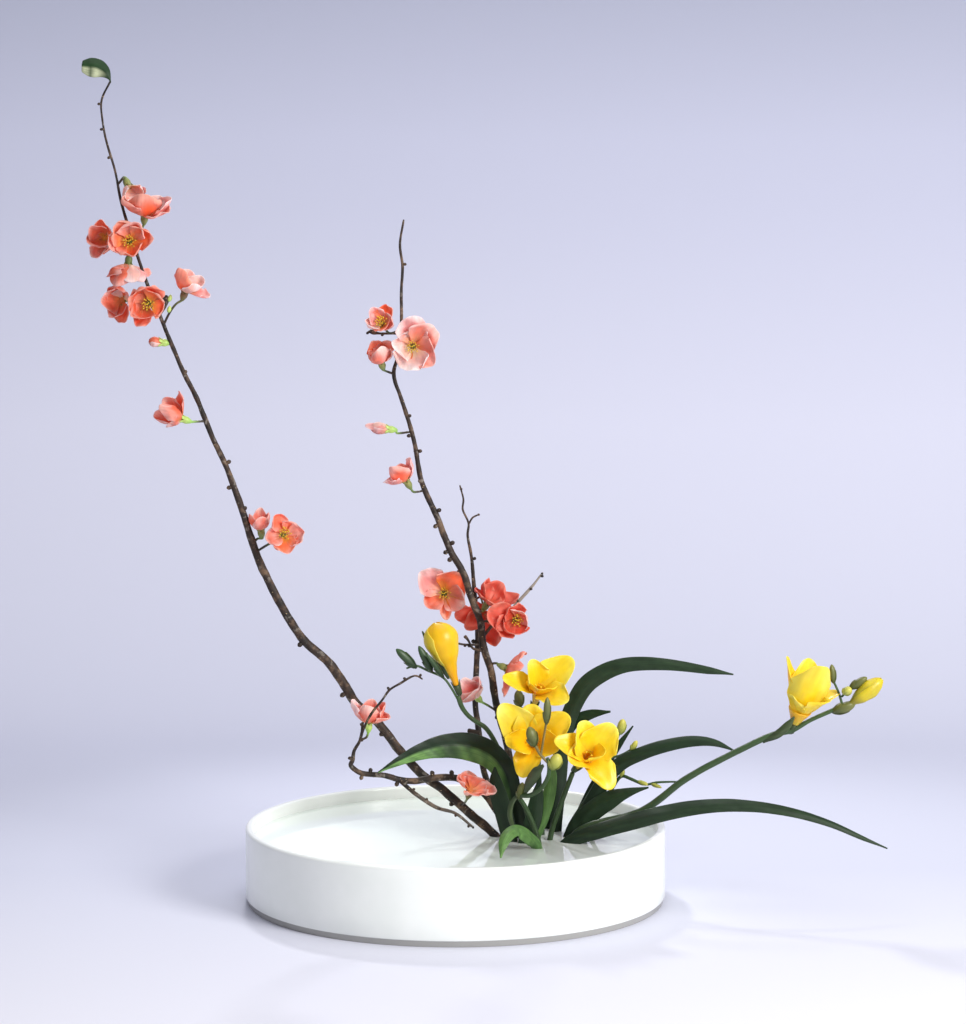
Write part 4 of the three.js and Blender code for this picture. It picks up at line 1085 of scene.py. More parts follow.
@dataclass(frozen=True)
class PetalForm:
    """How the petals of one kind of flower are shaped."""

    outline: tuple[Spot, ...]
    radius: float
    height: float
    belly: Triple
    cup: float
    twist: float
    sag: float
    ruffle: float
    thickness: float
    breadth: float
    rim: float = 1.1
    rows: int = 12
    columns: int = 11
    least_reach: float = 2.2
    widest_turn: float = 0.85
    roundness: float = 2.4

    def grow(self, draft: Draft, seat: Vector, axis: Vector, petal: Petal, number: int) -> None:
        """Adds one petal to a draft.

        Args:
            draft: what it is added to.
            seat: the middle of the flower, where its petals start.
            axis: the way that the flower faces.
            petal: the petal.
            number: a number of its own, which sets its creases.
        """
        chord = Vector(petal.tip) - seat
        rise = chord.dot(axis)
        out = chord - axis * rise
        spread = out.length
        out.normalize()
        bulge = max(self.belly[0] * spread + self.belly[1] * max(rise, 0.0), self.radius)
        start = seat + out * self.radius + axis * self.height
        bend = seat + out * bulge + axis * (self.height + self.belly[2] * chord.length)
        end = Vector(petal.tip)
        shift = Vector((number * 3.7, number * 1.9, number * 5.3))
        body, rim, heart = petal.tone.colours()
        rows, tints = [], []
        for i in range(self.rows):
            t = i / (self.rows - 1)
            row, shades = [], []
            for s in across(self.columns):
                u = t * (1 - self.sag * abs(s) ** self.roundness * t * t)
                middle = start * (1 - u) ** 2 + bend * (2 * u * (1 - u)) + end * (u * u)
                tangent = ((bend - start) * (1 - u) + (end - bend) * u).normalized()
                inner = axis * tangent.dot(out) - out * tangent.dot(axis)
                away = middle - seat - axis * (middle - seat).dot(axis)
                reach = max(away.length, 1e-3)
                away /= reach
                # notched outline, broad waves and fine frills, each from noise of its own
                nick = noise.noise(Vector((math.copysign(3.0, s), t * 4.0, 3.0)) + shift)
                half = petal.half * self.breadth * along(self.outline, t) * (1 + 0.14 * nick * t)
                wave = noise.noise(Vector((s * 1.6, t * 2.2, 0.0)) + shift)
                frill = noise.noise(Vector((s * 4.0, t * 5.0, 7.0)) + shift)
                lift = s * self.twist + self.cup * s * s
                lift += self.ruffle * (wave + frill * (0.25 + 0.8 * abs(s))) * eased(0.15, 1, t)
                bow = max(reach, half / self.widest_turn, self.least_reach)
                angle = s * half / bow
                row.append(
                    middle + inner * (half * lift) + axis.cross(away) * (bow * math.sin(angle))
                    - away * (bow * (1 - math.cos(angle)))
                )
                edge = max(abs(s) ** self.roundness, t**4) * eased(0.2, 0.75, t)
                patch = noise.noise(Vector((s * 1.3, t * 1.8, 21.0)) + shift)
                patch += 0.5 * noise.noise(Vector((s * 3.1, t * 4.1, 33.0)) + shift)
                shade = blended(body, rim, edge * self.rim + patch * 0.75)
                shades.append(blended(heart, shade, eased(0.0, 0.42, t + 0.12 * patch)))
            rows.append(row)
            tints.append(shades)
        draft.sheet(rows, tints, self.thickness)


# rounded petals on a narrow claw, softly cupped
QUINCE_PETALS = PetalForm(
    outline=((0.0, 0.22), (0.1, 0.36), (0.32, 0.82), (0.58, 1.0), (0.82, 1.0), (1.0, 0.86)),
    radius=1.7, height=1.1, belly=(0.66, 0.3, 0.12), cup=0.26, twist=0.14, sag=0.32,
    ruffle=0.42, thickness=0.5, breadth=1.4,
)
# longer tepals that rise from a funnel and spread near its mouth
FREESIA_TEPALS = PetalForm(
    outline=((0.0, 0.42), (0.15, 0.62), (0.42, 0.95), (0.65, 1.0), (0.86, 0.98), (1.0, 0.8)),
    radius=3.6, height=-2.0, belly=(0.46, 0.05, 0.3), cup=0.2, twist=0.08, sag=0.32,
    ruffle=0.2, thickness=0.65, breadth=1.25, rim=0.8, rows=14, widest_turn=0.75,
)


@dataclass(frozen=True)
class FurledPetals:
    """Petals still wrapped round one another, each lapping over the next."""

    count: int
    length: float
    radius: float
    profile: tuple[Spot, ...]
    lap: float = 0.16
    thickness: float = 0.5
    steps: int = 12
    columns: int = 9
    core: float = 0.84

    def reach(self, share: float) -> float:
        """The radius at a share of the length."""
        return self.radius * along(self.profile, share)

    def grow(self, draft: Draft, seat: Vector, axis: Vector, tones: Sequence[Tone]) -> None:
        """Adds the petals, and the full core that they hide, to a draft.

        Args:
            draft: what they are added to.
            seat: the foot of the bud.
            axis: the way that it points.
            tones: the petals' colours in turn.
        """
        body, rim, heart = tones[0].colours()
        shares = [i / self.steps for i in range(self.steps + 1)]
        profile = [(self.length * t * 0.97, max(self.reach(t) * self.core, 0.3)) for t in shares]
        draft.turned(seat, axis, profile, 16, [blended(heart, body, t * 1.6) for t in shares])
        for k in range(self.count):
            body, rim, heart = tones[k % len(tones)].colours()
            start = 2 * math.pi * k / self.count + 0.5
            rows, tints = [], []
            for t in shares:
                row, shades = [], []
                for s in across(self.columns):
                    u = t * (1 - 0.2 * abs(s) ** 2.5 * t)
                    angle = start + s * (1.25 + 0.35 * t) * 3.4 / self.count
                    reach = self.reach(u) * (0.97 + self.lap * (s + 1) / 2 * (0.4 + 0.6 * t))
                    way = spokes(axis, [angle])[0]
                    row.append(seat + axis * (self.length * u) + way * max(reach, 0.2))
                    patch = noise.noise(Vector((s * 1.5 + k * 4, t * 2.0, self.length)))
                    shade = blended(body, rim, 0.9 * max(s, 0) ** 3 + 0.7 * patch)
                    shades.append(blended(heart, shade, eased(0.0, 0.5, t)))
                rows.append(row)
                tints.append(shades)
            draft.sheet(rows, tints, self.thickness)


class Seated:
    """Something that sits at a place and faces a way."""

    seat: Triple
    facing: Triple

    @property
    def at(self) -> Vector:
        """The seat as a vector."""
        return Vector(self.seat)

    @property
    def axis(self) -> Vector:
        """The way that it faces, of length one."""
        return Vector(self.facing).normalized()


def grown_stamens(
    name: str, seats: Sequence[tuple[Vector, Vector]], values: dict[str, Any]
) -> Object:
    """Stamens at each seat.

    Args:
        name: the piece's name.
        seats: place and direction of each cluster, in mm.
        values: the tree's inputs.

    Returns:
        The new object.
    """
    mesh = bpy.data.meshes.new(name)
    mesh.from_pydata([at * MM for at, _ in seats], [], [])
    axis = mesh.attributes.new("axis", "FLOAT_VECTOR", "POINT")
    axis.data.foreach_set("vector", [value for _, way in seats for value in way])
    made = linked(name, mesh)
    stamen_tree().apply(made, values)
    made.data.polygons.foreach_set("use_smooth", [True] * len(made.data.polygons))
    return made


# -------- quince blooms
TALL = "quince_branch_tall"
UPRIGHT = "quince_branch_upright"
BACK = "quince_branch_back"
CROOKED = "quince_branch_crooked"


@dataclass(frozen=True)
class Bloom(Seated):
    """One quince bloom: where it sits, how its twig reaches it, and its petals."""

    branch: str
    slot: str
    seat: Triple
    facing: Triple
    twig: tuple[Triple, ...]
    petals: tuple[Petal, ...]
    cup: Tissue = Tissue.OLIVE
    is_open: bool = False
    bud: Spot | None = None


BLOOMS: tuple[Bloom, ...] = (
    Bloom(TALL, "coral", (-226, -66, 522), (0.1, -0.35, 0.93), ((-234, -60, 500), (-229, -62, 512)), (
        Petal((-241, -76, 537), 8.5, CORAL), Petal((-224, -84, 539), 10, ORANGE),
        Petal((-215, -60, 537), 8.5, BLUSH), Petal((-206, -72, 536), 8, PINK),
        Petal((-207, -86, 525), 8, CORAL),
    )),
    Bloom(TALL, "coral", (-236, -76, 504), (0, -1, 0.05), ((-235, -60, 502), (-236, -66, 504)), (
        Petal((-246, -88, 515), 8.5, ORANGE), Petal((-231, -88, 519), 8.5, CORAL),
        Petal((-220, -86, 510), 8, ORANGE), Petal((-235, -90, 493), 8, ORANGE),
        Petal((-250, -88, 502), 7.5, CORAL),
    ), is_open=True),
    Bloom(TALL, "coral", (-255, -62, 506), (-0.5, -0.85, 0.1), ((-237, -60, 507), (-245, -58, 505)), (
        Petal((-258, -70, 519), 7.5, ORANGE), Petal((-265, -72, 513), 7.5, CORAL),
        Petal((-267, -72, 502), 8, CORAL), Petal((-262, -72, 492), 7.5, SALMON),
        Petal((-253, -76, 497), 7, ORANGE),
    )),
    Bloom(TALL, "coral", (-239, -57, 488), (-0.1, -0.05, -0.98), ((-232, -58, 496), (-236, -63, 496)), (
        Petal((-256, -62, 478), 10, CORAL), Petal((-247, -72, 471), 9, CORAL),
        Petal((-236, -74, 474), 7.5, BLUSH), Petal((-229, -68, 474), 7.5, PINK),
        Petal((-224, -46, 481), 8, SALMON),
    ), cup=Tissue.DARK),
    Bloom(TALL, "red", (-223, -70, 459), (-0.1, -0.95, -0.1), ((-220, -54, 458), (-223, -58, 458)), (
        Petal((-226, -82, 474), 11.5, DEEP), Petal((-237, -82, 462), 9.5, DEEP),
        Petal((-232, -80, 449), 8, DEEP), Petal((-212, -76, 462), 10, ORANGE),
        Petal((-230, -78, 442), 5, DEEP),
    ), is_open=True),
    Bloom(TALL, "coral", (-243, -58, 461), (-0.5, -0.85, -0.15), ((-224, -54, 466), (-233, -52, 463)), (
        Petal((-252, -66, 470), 7.5, CORAL), Petal((-258, -68, 460), 8, CORAL),
        Petal((-250, -68, 447), 7.5, CORAL), Petal((-243, -66, 444), 7, ORANGE),
        Petal((-242, -64, 469), 6, BLUSH),
    )),
    Bloom(TALL, "coral", (-198, -56, 466), (0.35, -0.25, 0.9),
        ((-211, -52, 444), (-209, -52, 452), (-204, -54, 458)), (
        Petal((-198, -68, 484), 8, ORANGE), Petal((-196, -46, 483), 7.5, SALMON),
        Petal((-185, -50, 478), 6.5, BLUSH), Petal((-179, -60, 463), 5.5, PINK),
        Petal((-188, -70, 473), 6, BLUSH),
    ), cup=Tissue.RUSTY),
    Bloom(TALL, "coral", (-216, -50, 429), (-0.97, -0.2, 0.1), ((-208, -49, 425),), (),
        cup=Tissue.LIME, bud=(9.5, 4.2)),
    Bloom(TALL, "coral", (-201, -46, 372), (-0.95, -0.2, 0.35), ((-186, -44, 369),), (
        Petal((-204, -46, 393), 6, CORAL), Petal((-217, -40, 386), 6.5, CORAL),
        Petal((-223, -46, 376), 6.5, CORAL), Petal((-213, -50, 368), 6.5, SALMON),
        Petal((-218, -56, 383), 6, CORAL),
    ), cup=Tissue.LIME),
    Bloom(TALL, "coral", (-145, -30, 287), (-0.1, -0.2, 0.95), ((-150, -27, 277), (-147, -29, 281)), (
        Petal((-153, -34, 300), 5, CORAL), Petal((-146, -26, 304), 5.5, SALMON),
        Petal((-139, -33, 301), 5, CORAL), Petal((-144, -42, 299), 5.5, SALMON),
    )),
    Bloom(TALL, "coral", (-128, -42, 285), (0.25, -0.85, 0.35), ((-148, -27, 272), (-141, -33, 276)), (
        Petal((-111, -48, 285), 7, SALMON), Petal((-117, -42, 293), 6.5, CORAL),
        Petal((-132, -46, 301), 6, CORAL), Petal((-140, -50, 282), 6, SALMON),
        Petal((-125, -52, 272), 7, ORANGE),
    ), is_open=True),
    Bloom(UPRIGHT, "coral", (-55, 20, 438), (-0.25, -0.8, 0.5), ((-44, 31, 433), (-50, 28, 431)), (
        Petal((-64, 14, 450), 6, PINK), Petal((-52, 16, 453), 6.5, ORANGE),
        Petal((-47, 10, 442), 6, SALMON), Petal((-56, 8, 435), 6.5, ORANGE),
        Petal((-67, 12, 440), 5.5, BLUSH),
    ), cup=Tissue.DARK, is_open=True),
    Bloom(UPRIGHT, "coral", (-56, 18, 409), (-0.25, -0.45, 0.85), ((-49, 30, 400), (-52, 26, 402)), (
        Petal((-67, 14, 418), 6, CORAL), Petal((-62, 24, 426), 6.5, ORANGE),
        Petal((-52, 26, 426), 6, CORAL), Petal((-47, 16, 419), 6, SALMON),
        Petal((-57, 2, 422), 7, SALMON),
    )),
    Bloom(UPRIGHT, "pale", (-32, 12, 422), (-0.05, -1, 0), ((-42, 31, 422), (-34, 22, 421)), (
        Petal((-45, 4, 424), 9.5, BLUSH), Petal((-32, 6, 446), 10, PINK),
        Petal((-15, 4, 436), 10.5, SALMON), Petal((-16, 2, 413), 11, CORAL),
        Petal((-34, 3, 404), 11, BLUSH),
    ), is_open=True),
    Bloom(UPRIGHT, "coral", (-51, 26, 358), (-1, -0.05, 0.12), ((-40, 29, 354), (-45, 28, 355)),
        (Petal((-69, 24, 361), 3.5, PINK),), cup=Tissue.LIME, bud=(14, 5)),
    Bloom(UPRIGHT, "coral", (-37, 22, 318), (-0.5, -0.2, 0.85), ((-29, 29, 308), (-32, 26, 310)), (
        Petal((-36, 22, 337), 5.5, PINK), Petal((-49, 14, 331), 7.5, CORAL),
        Petal((-54, 18, 319), 7, PINK), Petal((-44, 30, 331), 6, CORAL),
    )),
    Bloom(UPRIGHT, "coral", (-9, 46, 229), (0, -1, 0.1), ((2, 28, 250), (1, 44, 245), (-2, 54, 234)), (
        Petal((-27, 40, 247), 9.5, PINK), Petal((5, 39, 245), 11.5, ORANGE),
        Petal((7, 38, 222), 9, SALMON), Petal((-24, 40, 221), 7, CORAL),
        Petal((-7, 41, 209), 3.4, ORANGE),
    ), is_open=True),
    Bloom(UPRIGHT, "red", (24, 44, 221), (0.5, -0.2, 0.8), ((18, 28, 220), (20, 40, 216)), (
        Petal((15, 40, 234), 6.5, RED), Petal((24, 44, 243), 8.5, RED), Petal((36, 52, 238), 8, RED),
        Petal((49, 50, 228), 7.5, RED), Petal((36, 36, 221), 8, RED),
    )),
    Bloom(UPRIGHT, "red", (45, 24, 212), (0.3, -0.9, 0), ((19, 28, 210), (34, 31, 210)), (
        Petal((24, 15, 219), 9, RED), Petal((45, 13, 225), 8, RED), Petal((55, 14, 215), 8.5, SALMON),
        Petal((45, 9, 201), 9, RED), Petal((31, 9, 204), 8, RED),
    ), is_open=True),
    Bloom(UPRIGHT, "coral", (38, 22, 175), (0.8, -0.2, -0.3), ((28, 26, 177), (32, 24, 178)), (
        Petal((55, 22, 187), 6.5, CORAL), Petal((52, 12, 177), 6.5, CORAL),
        Petal((50, 24, 162), 7, CORAL), Petal((37, 22, 152), 5.5, CORAL),
    )),
    Bloom(UPRIGHT, "pale", (16, 14, 154), (-0.6, -0.35, 0.7), ((30, 26, 140), (26, 22, 145)), (
        Petal((4, 8, 168), 7, PINK), Petal((16, 8, 171), 7, PINK), Petal((2, 2, 156), 7, SALMON),
        Petal((9, -2, 157), 7.5, PINK), Petal((20, 2, 164), 6.5, BLUSH),
    ), cup=Tissue.LIME),
    Bloom(CROOKED, "coral", (-65, -29, 140), (0.05, -0.1, 0.97), ((-71, -41, 130), (-67, -36, 131)), (
        Petal((-77, -27, 159), 6.5, PINK), Petal((-63, -25, 159), 7.5, SALMON),
        Petal((-53, -28, 157), 7, CORAL), Petal((-49, -33, 148), 6.5, SALMON),
        Petal((-66, -36, 156), 8, SALMON),
    ), cup=Tissue.LIME),
    Bloom(TALL, "coral", (11, -26, 88), (0.3, -0.3, 0.9), ((5, 2, 71), (7, -9, 76)), (
        Petal((1, -26, 101), 7, CORAL), Petal((10, -14, 102), 7, CORAL), Petal((22, -18, 96), 7, CORAL),
        Petal((31, -30, 91), 7, SALMON), Petal((20, -44, 89), 8, CORAL),
    ), cup=Tissue.RUSTY),
    Bloom(UPRIGHT, "red", (20, 52, 215), (-0.15, -0.75, -0.55), ((19, 28, 227), (19, 46, 226)), (
        Petal((-1, 46, 212), 8, RED), Petal((9, 45, 201), 7, RED), Petal((32, 44, 189), 9, RED),
        Petal((34, 44, 206), 7, RED), Petal((14, 50, 222), 5, RED),
    )),
    Bloom(TALL, "pale", (-238, -64, 545), (0.4, -0.35, -0.85), ((-243, -71, 544), (-241, -68, 550)), (
        Petal((-226, -62, 536), 8.5, BLUSH), Petal((-238, -68, 533), 8, BLUSH),
        Petal((-231, -52, 536), 8, PINK),
    )),
)


@dataclass
class QuinceBlooms:
    """Every quince bloom, its petals and its stamens."""

    finishes: Finishes
    heart_profile: tuple[Spot, ...] = ((-0.6, 2.2), (0.8, 2.7), (1.8, 2.4), (2.4, 1.3))
    green_heart: str = "#6d742f"
    bud_profile: tuple[Spot, ...] = (
        (0.0, 0.45), (0.3, 0.9), (0.55, 1.0), (0.8, 0.8), (0.94, 0.5), (1.0, 0.2)
    )
    bud_tones: tuple[Tone, ...] = (RED, CORAL, BLUSH, CORAL)
    opening_tones: tuple[Tone, ...] = (PINK, SALMON, PINK, BLUSH)
    stamen_count: int = 22
    stamen_length: float = 6.2
    stamen_seat: float = 0.8

    def build(self) -> None:
        """Builds one piece for each bloom, and one for all their stamens."""
        for number, bloom in enumerate(BLOOMS, 1):
            draft = Draft()
            if bloom.petals and bloom.bud is None:
                green = linear(self.green_heart)
                inside = green if bloom.is_open else bloom.petals[0].tone.colours()[2]
                heart = [green, green, inside, inside]
                draft.turned(bloom.at, bloom.axis, self.heart_profile, 12, heart)
            for k, petal in enumerate(bloom.petals):
                QUINCE_PETALS.grow(draft, bloom.at, bloom.axis, petal, number * 7 + k)
            if bloom.bud:
                length, radius = bloom.bud
                furled = FurledPetals(4, length, radius * 0.88, self.bud_profile, thickness=0.4)
                tones = self.opening_tones if bloom.petals else self.bud_tones
                furled.grow(draft, bloom.at, bloom.axis, tones)
            name = f"quince_bloom_{number:02d}"
            settle(draft.made(f"{name}_petals", [self.finishes.petal]), bloom.slot, name)
        self._stamens()

    def _stamens(self) -> None:
        """Builds the stamens of the open blooms."""
        opened = [bloom for bloom in BLOOMS if bloom.is_open]
        seats = [(bloom.at + bloom.axis * self.stamen_seat, bloom.axis) for bloom in opened]
        made = grown_stamens(
            "quince_stamens", seats,
            {
                "Count": self.stamen_count, "Spread": 2.0 * MM, "Length": self.stamen_length * MM,
                "Lean": 0.5, "Thread": 0.2 * MM, "Anther": 0.66 * MM, "Seed": 5,
                "Material": self.finishes.stamen,
            },
        )
        settle(made, "yellow")


# -------- quince branches
@dataclass
class QuinceBranch:
    """A woody branch with its side twigs, knobs and the green cups that carry its blooms."""

    name: str
    path: tuple[Station, ...]
    twigs: tuple[tuple[Station, ...], ...]
    knobs: tuple[Spot, ...]
    pale_twig: int = -1
    # how pale the chosen twig grows towards its tip: weathering on the upright branch, a painted
    # highlight on the crooked one
    paleness: float = 0.8
    shoots: tuple[Station, ...] = ()
    step: float = 2.6
    twig_step: float = 1.6
    sides: int = 14
    buds_apart: int = 8
    pedicel: float = 1.0
    pedicel_brown: str = "#33281b"
    calyx: tuple[Spot, ...] = (
        (-7.0, 1.05), (-5.4, 1.7), (-3.6, 2.65), (-2.2, 2.95), (-1.0, 2.75), (0.1, 2.9)
    )
    sepal_halves: tuple[float, ...] = (0.75, 1.3, 1.5, 1.15, 0.45)
    lenticels: float = 13000.0
    lenticel_size: float = 0.42
    draft: Draft = field(default_factory=Draft)
    line: Track = field(init=False)

    def build(self, finishes: Finishes) -> None:
        """Builds the branch and the lenticels on its bark.

        Args:
            finishes: the materials.
        """
        self.line = Track.through(self.path, self.step).above_plate()
        bark = [grey(0.0)] * len(self.line.places)
        self.draft.tube(self.line, self.sides, bark, rough=0.16)
        for number, twig in enumerate(self.twigs):
            self._twig(twig, self.paleness if number == self.pale_twig else 0.0)
        for place in self.knobs:
            self._knob(place)
        foot, tip = Tissue.LIME.colours()
        for x, y, z, size in self.shoots:
            profile = [(-size, size * 0.5), (0.0, size), (size, size * 0.9), (size * 1.9, size * 0.3)]
            self.draft.turned(
                Vector((x, y, z)), Vector((0.3, -0.2, 0.9)).normalized(), profile, 9,
                [foot, tip, tip, tip], slot=1, lobes=3, depth=0.12,
            )
        for bloom in BLOOMS:
            if bloom.branch == self.name:
                self._cup(bloom)
        made = self.draft.made(self.name, [finishes.bark, finishes.stem])
        settle(made, "bark", self.name)
        carrier = linked(f"{self.name}_lenticels", made.data.copy())
        values = {
            "Density": self.lenticels, "Size": self.lenticel_size * MM, "Seed": len(self.path),
            "Material": finishes.cork,
        }
        lenticel_tree().apply(carrier, values)
        settle(carrier, "bark")

    def _twig(self, twig: Sequence[Station], paleness: float) -> None:
        """Adds a side twig with its buds.

        Args:
            twig: its stations. One of three or more starts on the branch.
            paleness: how much paler its bark is painted towards the tip: weathering, and on the crooked
                branch's twig a painted highlight.
        """
        if len(twig) > 2:
            twig = ((*self.line.nearest(twig[0][:3]), twig[0][3]), *twig[1:])
        side = Track.through(twig, self.twig_step)
        count = len(side.places)
        pale = grey(paleness)
        # paler towards the tip: weathering, and on the crooked branch's twig a painted highlight
        shades = [blended(grey(0.0), pale, eased(0.1, 0.5, i / count)) for i in range(count)]
        self.draft.tube(side, 10, shades, rough=0.14)
        for i in range(self.buds_apart, count, self.buds_apart):
            turn = Quaternion(side.tangents[i], i * 0.9)
            way = turn @ carried(side.tangents)[i] + side.tangents[i] * 0.6
            self._bud(side.places[i], way.normalized(), 1.1, side.sizes[i] + 0.7)
        if side.sizes[-1] < 1.15:
            self._bud(side.places[-1], side.tangents[-1], 1.0, 0.6)

    def _knob(self, place: Spot) -> None:
        """Adds a rounded knob where a bud or an old stalk was.

        Args:
            place: x and z of the knob's tip.
        """
        at = self.line.nearest_seen(*place)
        foot, size = self.line.places[at], self.line.sizes[at]
        out = Vector((place[0] - foot.x, 0.0, place[1] - foot.z))
        width = min(max(size * 0.42 + 0.75, 1.1), 2.0)
        reach = min(out.length, size + width * 0.75)
        out.y = -0.25 * out.length
        self._bud(foot, out.normalized(), width, reach)

    def _bud(self, foot: Vector, way: Vector, width: float, reach: float) -> None:
        """Adds a round scaly bud.

        Args:
            foot: a point in the middle of the branch.
            way: the way that the bud points.
            width: its radius.
            reach: how far its middle is from the branch's.
        """
        profile = [
            (0.0, width * 0.9), (max(reach - width * 1.15, 0.2), width * 0.72),
            (reach - width * 0.62, width * 0.92), (reach, width * 1.1),
            (reach + width * 0.6, width * 0.92), (reach + width, width * 0.45),
            (reach + width * 1.12, width * 0.12),
        ]
        self.draft.turned(foot, way, profile, 9, [grey(0.0)] * 7, lobes=3, depth=0.12)

    def _cup(self, bloom: Bloom) -> None:
        """Adds the stalk, cup and sepals under a bloom.

        Args:
            bloom: the bloom.
        """
        at, axis = bloom.at, bloom.axis
        foot, tip = bloom.cup.colours()
        points = [self.line.nearest(bloom.twig[0]), *(Vector(p) for p in bloom.twig[1:])]
        points.append(at - axis * 6.5)
        places = [p for i, p in enumerate(points) if i == 0 or (p - points[i - 1]).length > 0.6]
        stalk = Track.through([(*p, self.pedicel) for p in places], 1.2)
        count, brown = len(stalk.places), linear(self.pedicel_brown)
        shades = [blended(brown, foot, 2.0 * i / count - 0.8) for i in range(count)]
        self.draft.tube(stalk, 8, shades, slot=1, rough=0.1)
        shades = [blended(foot, tip, i / 5) for i in range(6)]
        self.draft.turned(at, axis, self.calyx, 15, shades, slot=1, lobes=5, depth=0.06)
        for way in spokes(axis, [angle + 0.12 * math.pi for angle in all_round(5)]):
            self._sepal(at - axis + way * 2.3, axis, way, (foot, tip))

    def _sepal(self, at: Vector, axis: Vector, way: Vector, colours: Sequence[Colour]) -> None:
        """Adds one small rounded sepal that stands up from the cup's rim.

        Args:
            at: its foot.
            axis: the way that the bloom faces.
            way: the way from the cup's middle to its foot.
            colours: the cup's colours at its foot and rim.
        """
        side = axis.cross(way)
        rows, tints = [], []
        for i, half in enumerate(self.sepal_halves):
            t = i / 4
            centre = at + axis * (3.4 * t) + way * (0.7 * t + 1.0 * t * t)
            rows.append([centre + side * half * s - way * 0.3 * s * s for s in across(5)])
            tints.append([blended(*colours, 0.4 + 0.6 * t)] * 5)
        self.draft.sheet(rows, tints, 0.5, slot=1)


# -------- freesias
@dataclass(frozen=True)
class FreesiaBloom(Seated):
    """One freesia bloom: the foot of its funnel, the way it faces, and its tepals."""

    stem: str
    seat: Triple
    facing: Triple
    tepals: tuple[Petal, ...] = ()
    girth: float = 1.0
    tube: float = 22.0


FREESIAS = (
    FreesiaBloom("freesia_stem_centre", (60, -4, 151), (0.15, -0.75, 0.65), (
        Petal((35, -34, 176), 8, GOLD), Petal((57, -30, 189), 10, LEMON),
        Petal((72, -14, 183), 9, GOLD), Petal((89, -20, 189), 11.5, LEMON),
        Petal((84, -42, 158), 11, LEMON), Petal((64, -44, 169), 10.5, AMBER),
    )),
    FreesiaBloom("freesia_stem_centre", (61, -13, 120), (-0.1, -0.9, 0.3), (
        Petal((33, -44, 157), 12, LEMON), Petal((57, -36, 157), 12.5, GOLD),
        Petal((86, -42, 149), 12.5, GOLD), Petal((79, -52, 128), 10, AMBER),
        Petal((50, -50, 103), 9.5, AMBER), Petal((37, -56, 132), 9, GOLD),
    )),
    FreesiaBloom("freesia_stem_low", (92, -27, 107), (0.35, -0.75, 0.5), (
        Petal((95, -46, 146), 13, LEMON), Petal((119, -44, 143), 13.5, LEMON),
        Petal((112, -60, 124), 8, GOLD), Petal((117, -54, 95), 10.5, GOLD),
        Petal((84, -60, 119), 10, AMBER), Petal((74, -54, 133), 9, GOLD),
    )),
    FreesiaBloom("freesia_stem_left", (1, -6, 166), (-0.32, -0.05, 0.95)),
    FreesiaBloom("freesia_stem_right", (256, -22, 139), (0.3, -0.25, 0.9), (
        Petal((249, -28, 192), 8.5, GOLD), Petal((268, -12, 188), 12, GOLD),
        Petal((275, -50, 188), 14.5, LEMON), Petal((289, -24, 165), 10.5, GOLD),
        Petal((282, -42, 160), 10, LEMON), Petal((250, -33, 164), 10.5, LEMON),
    ), girth=1.75, tube=12.5),
)


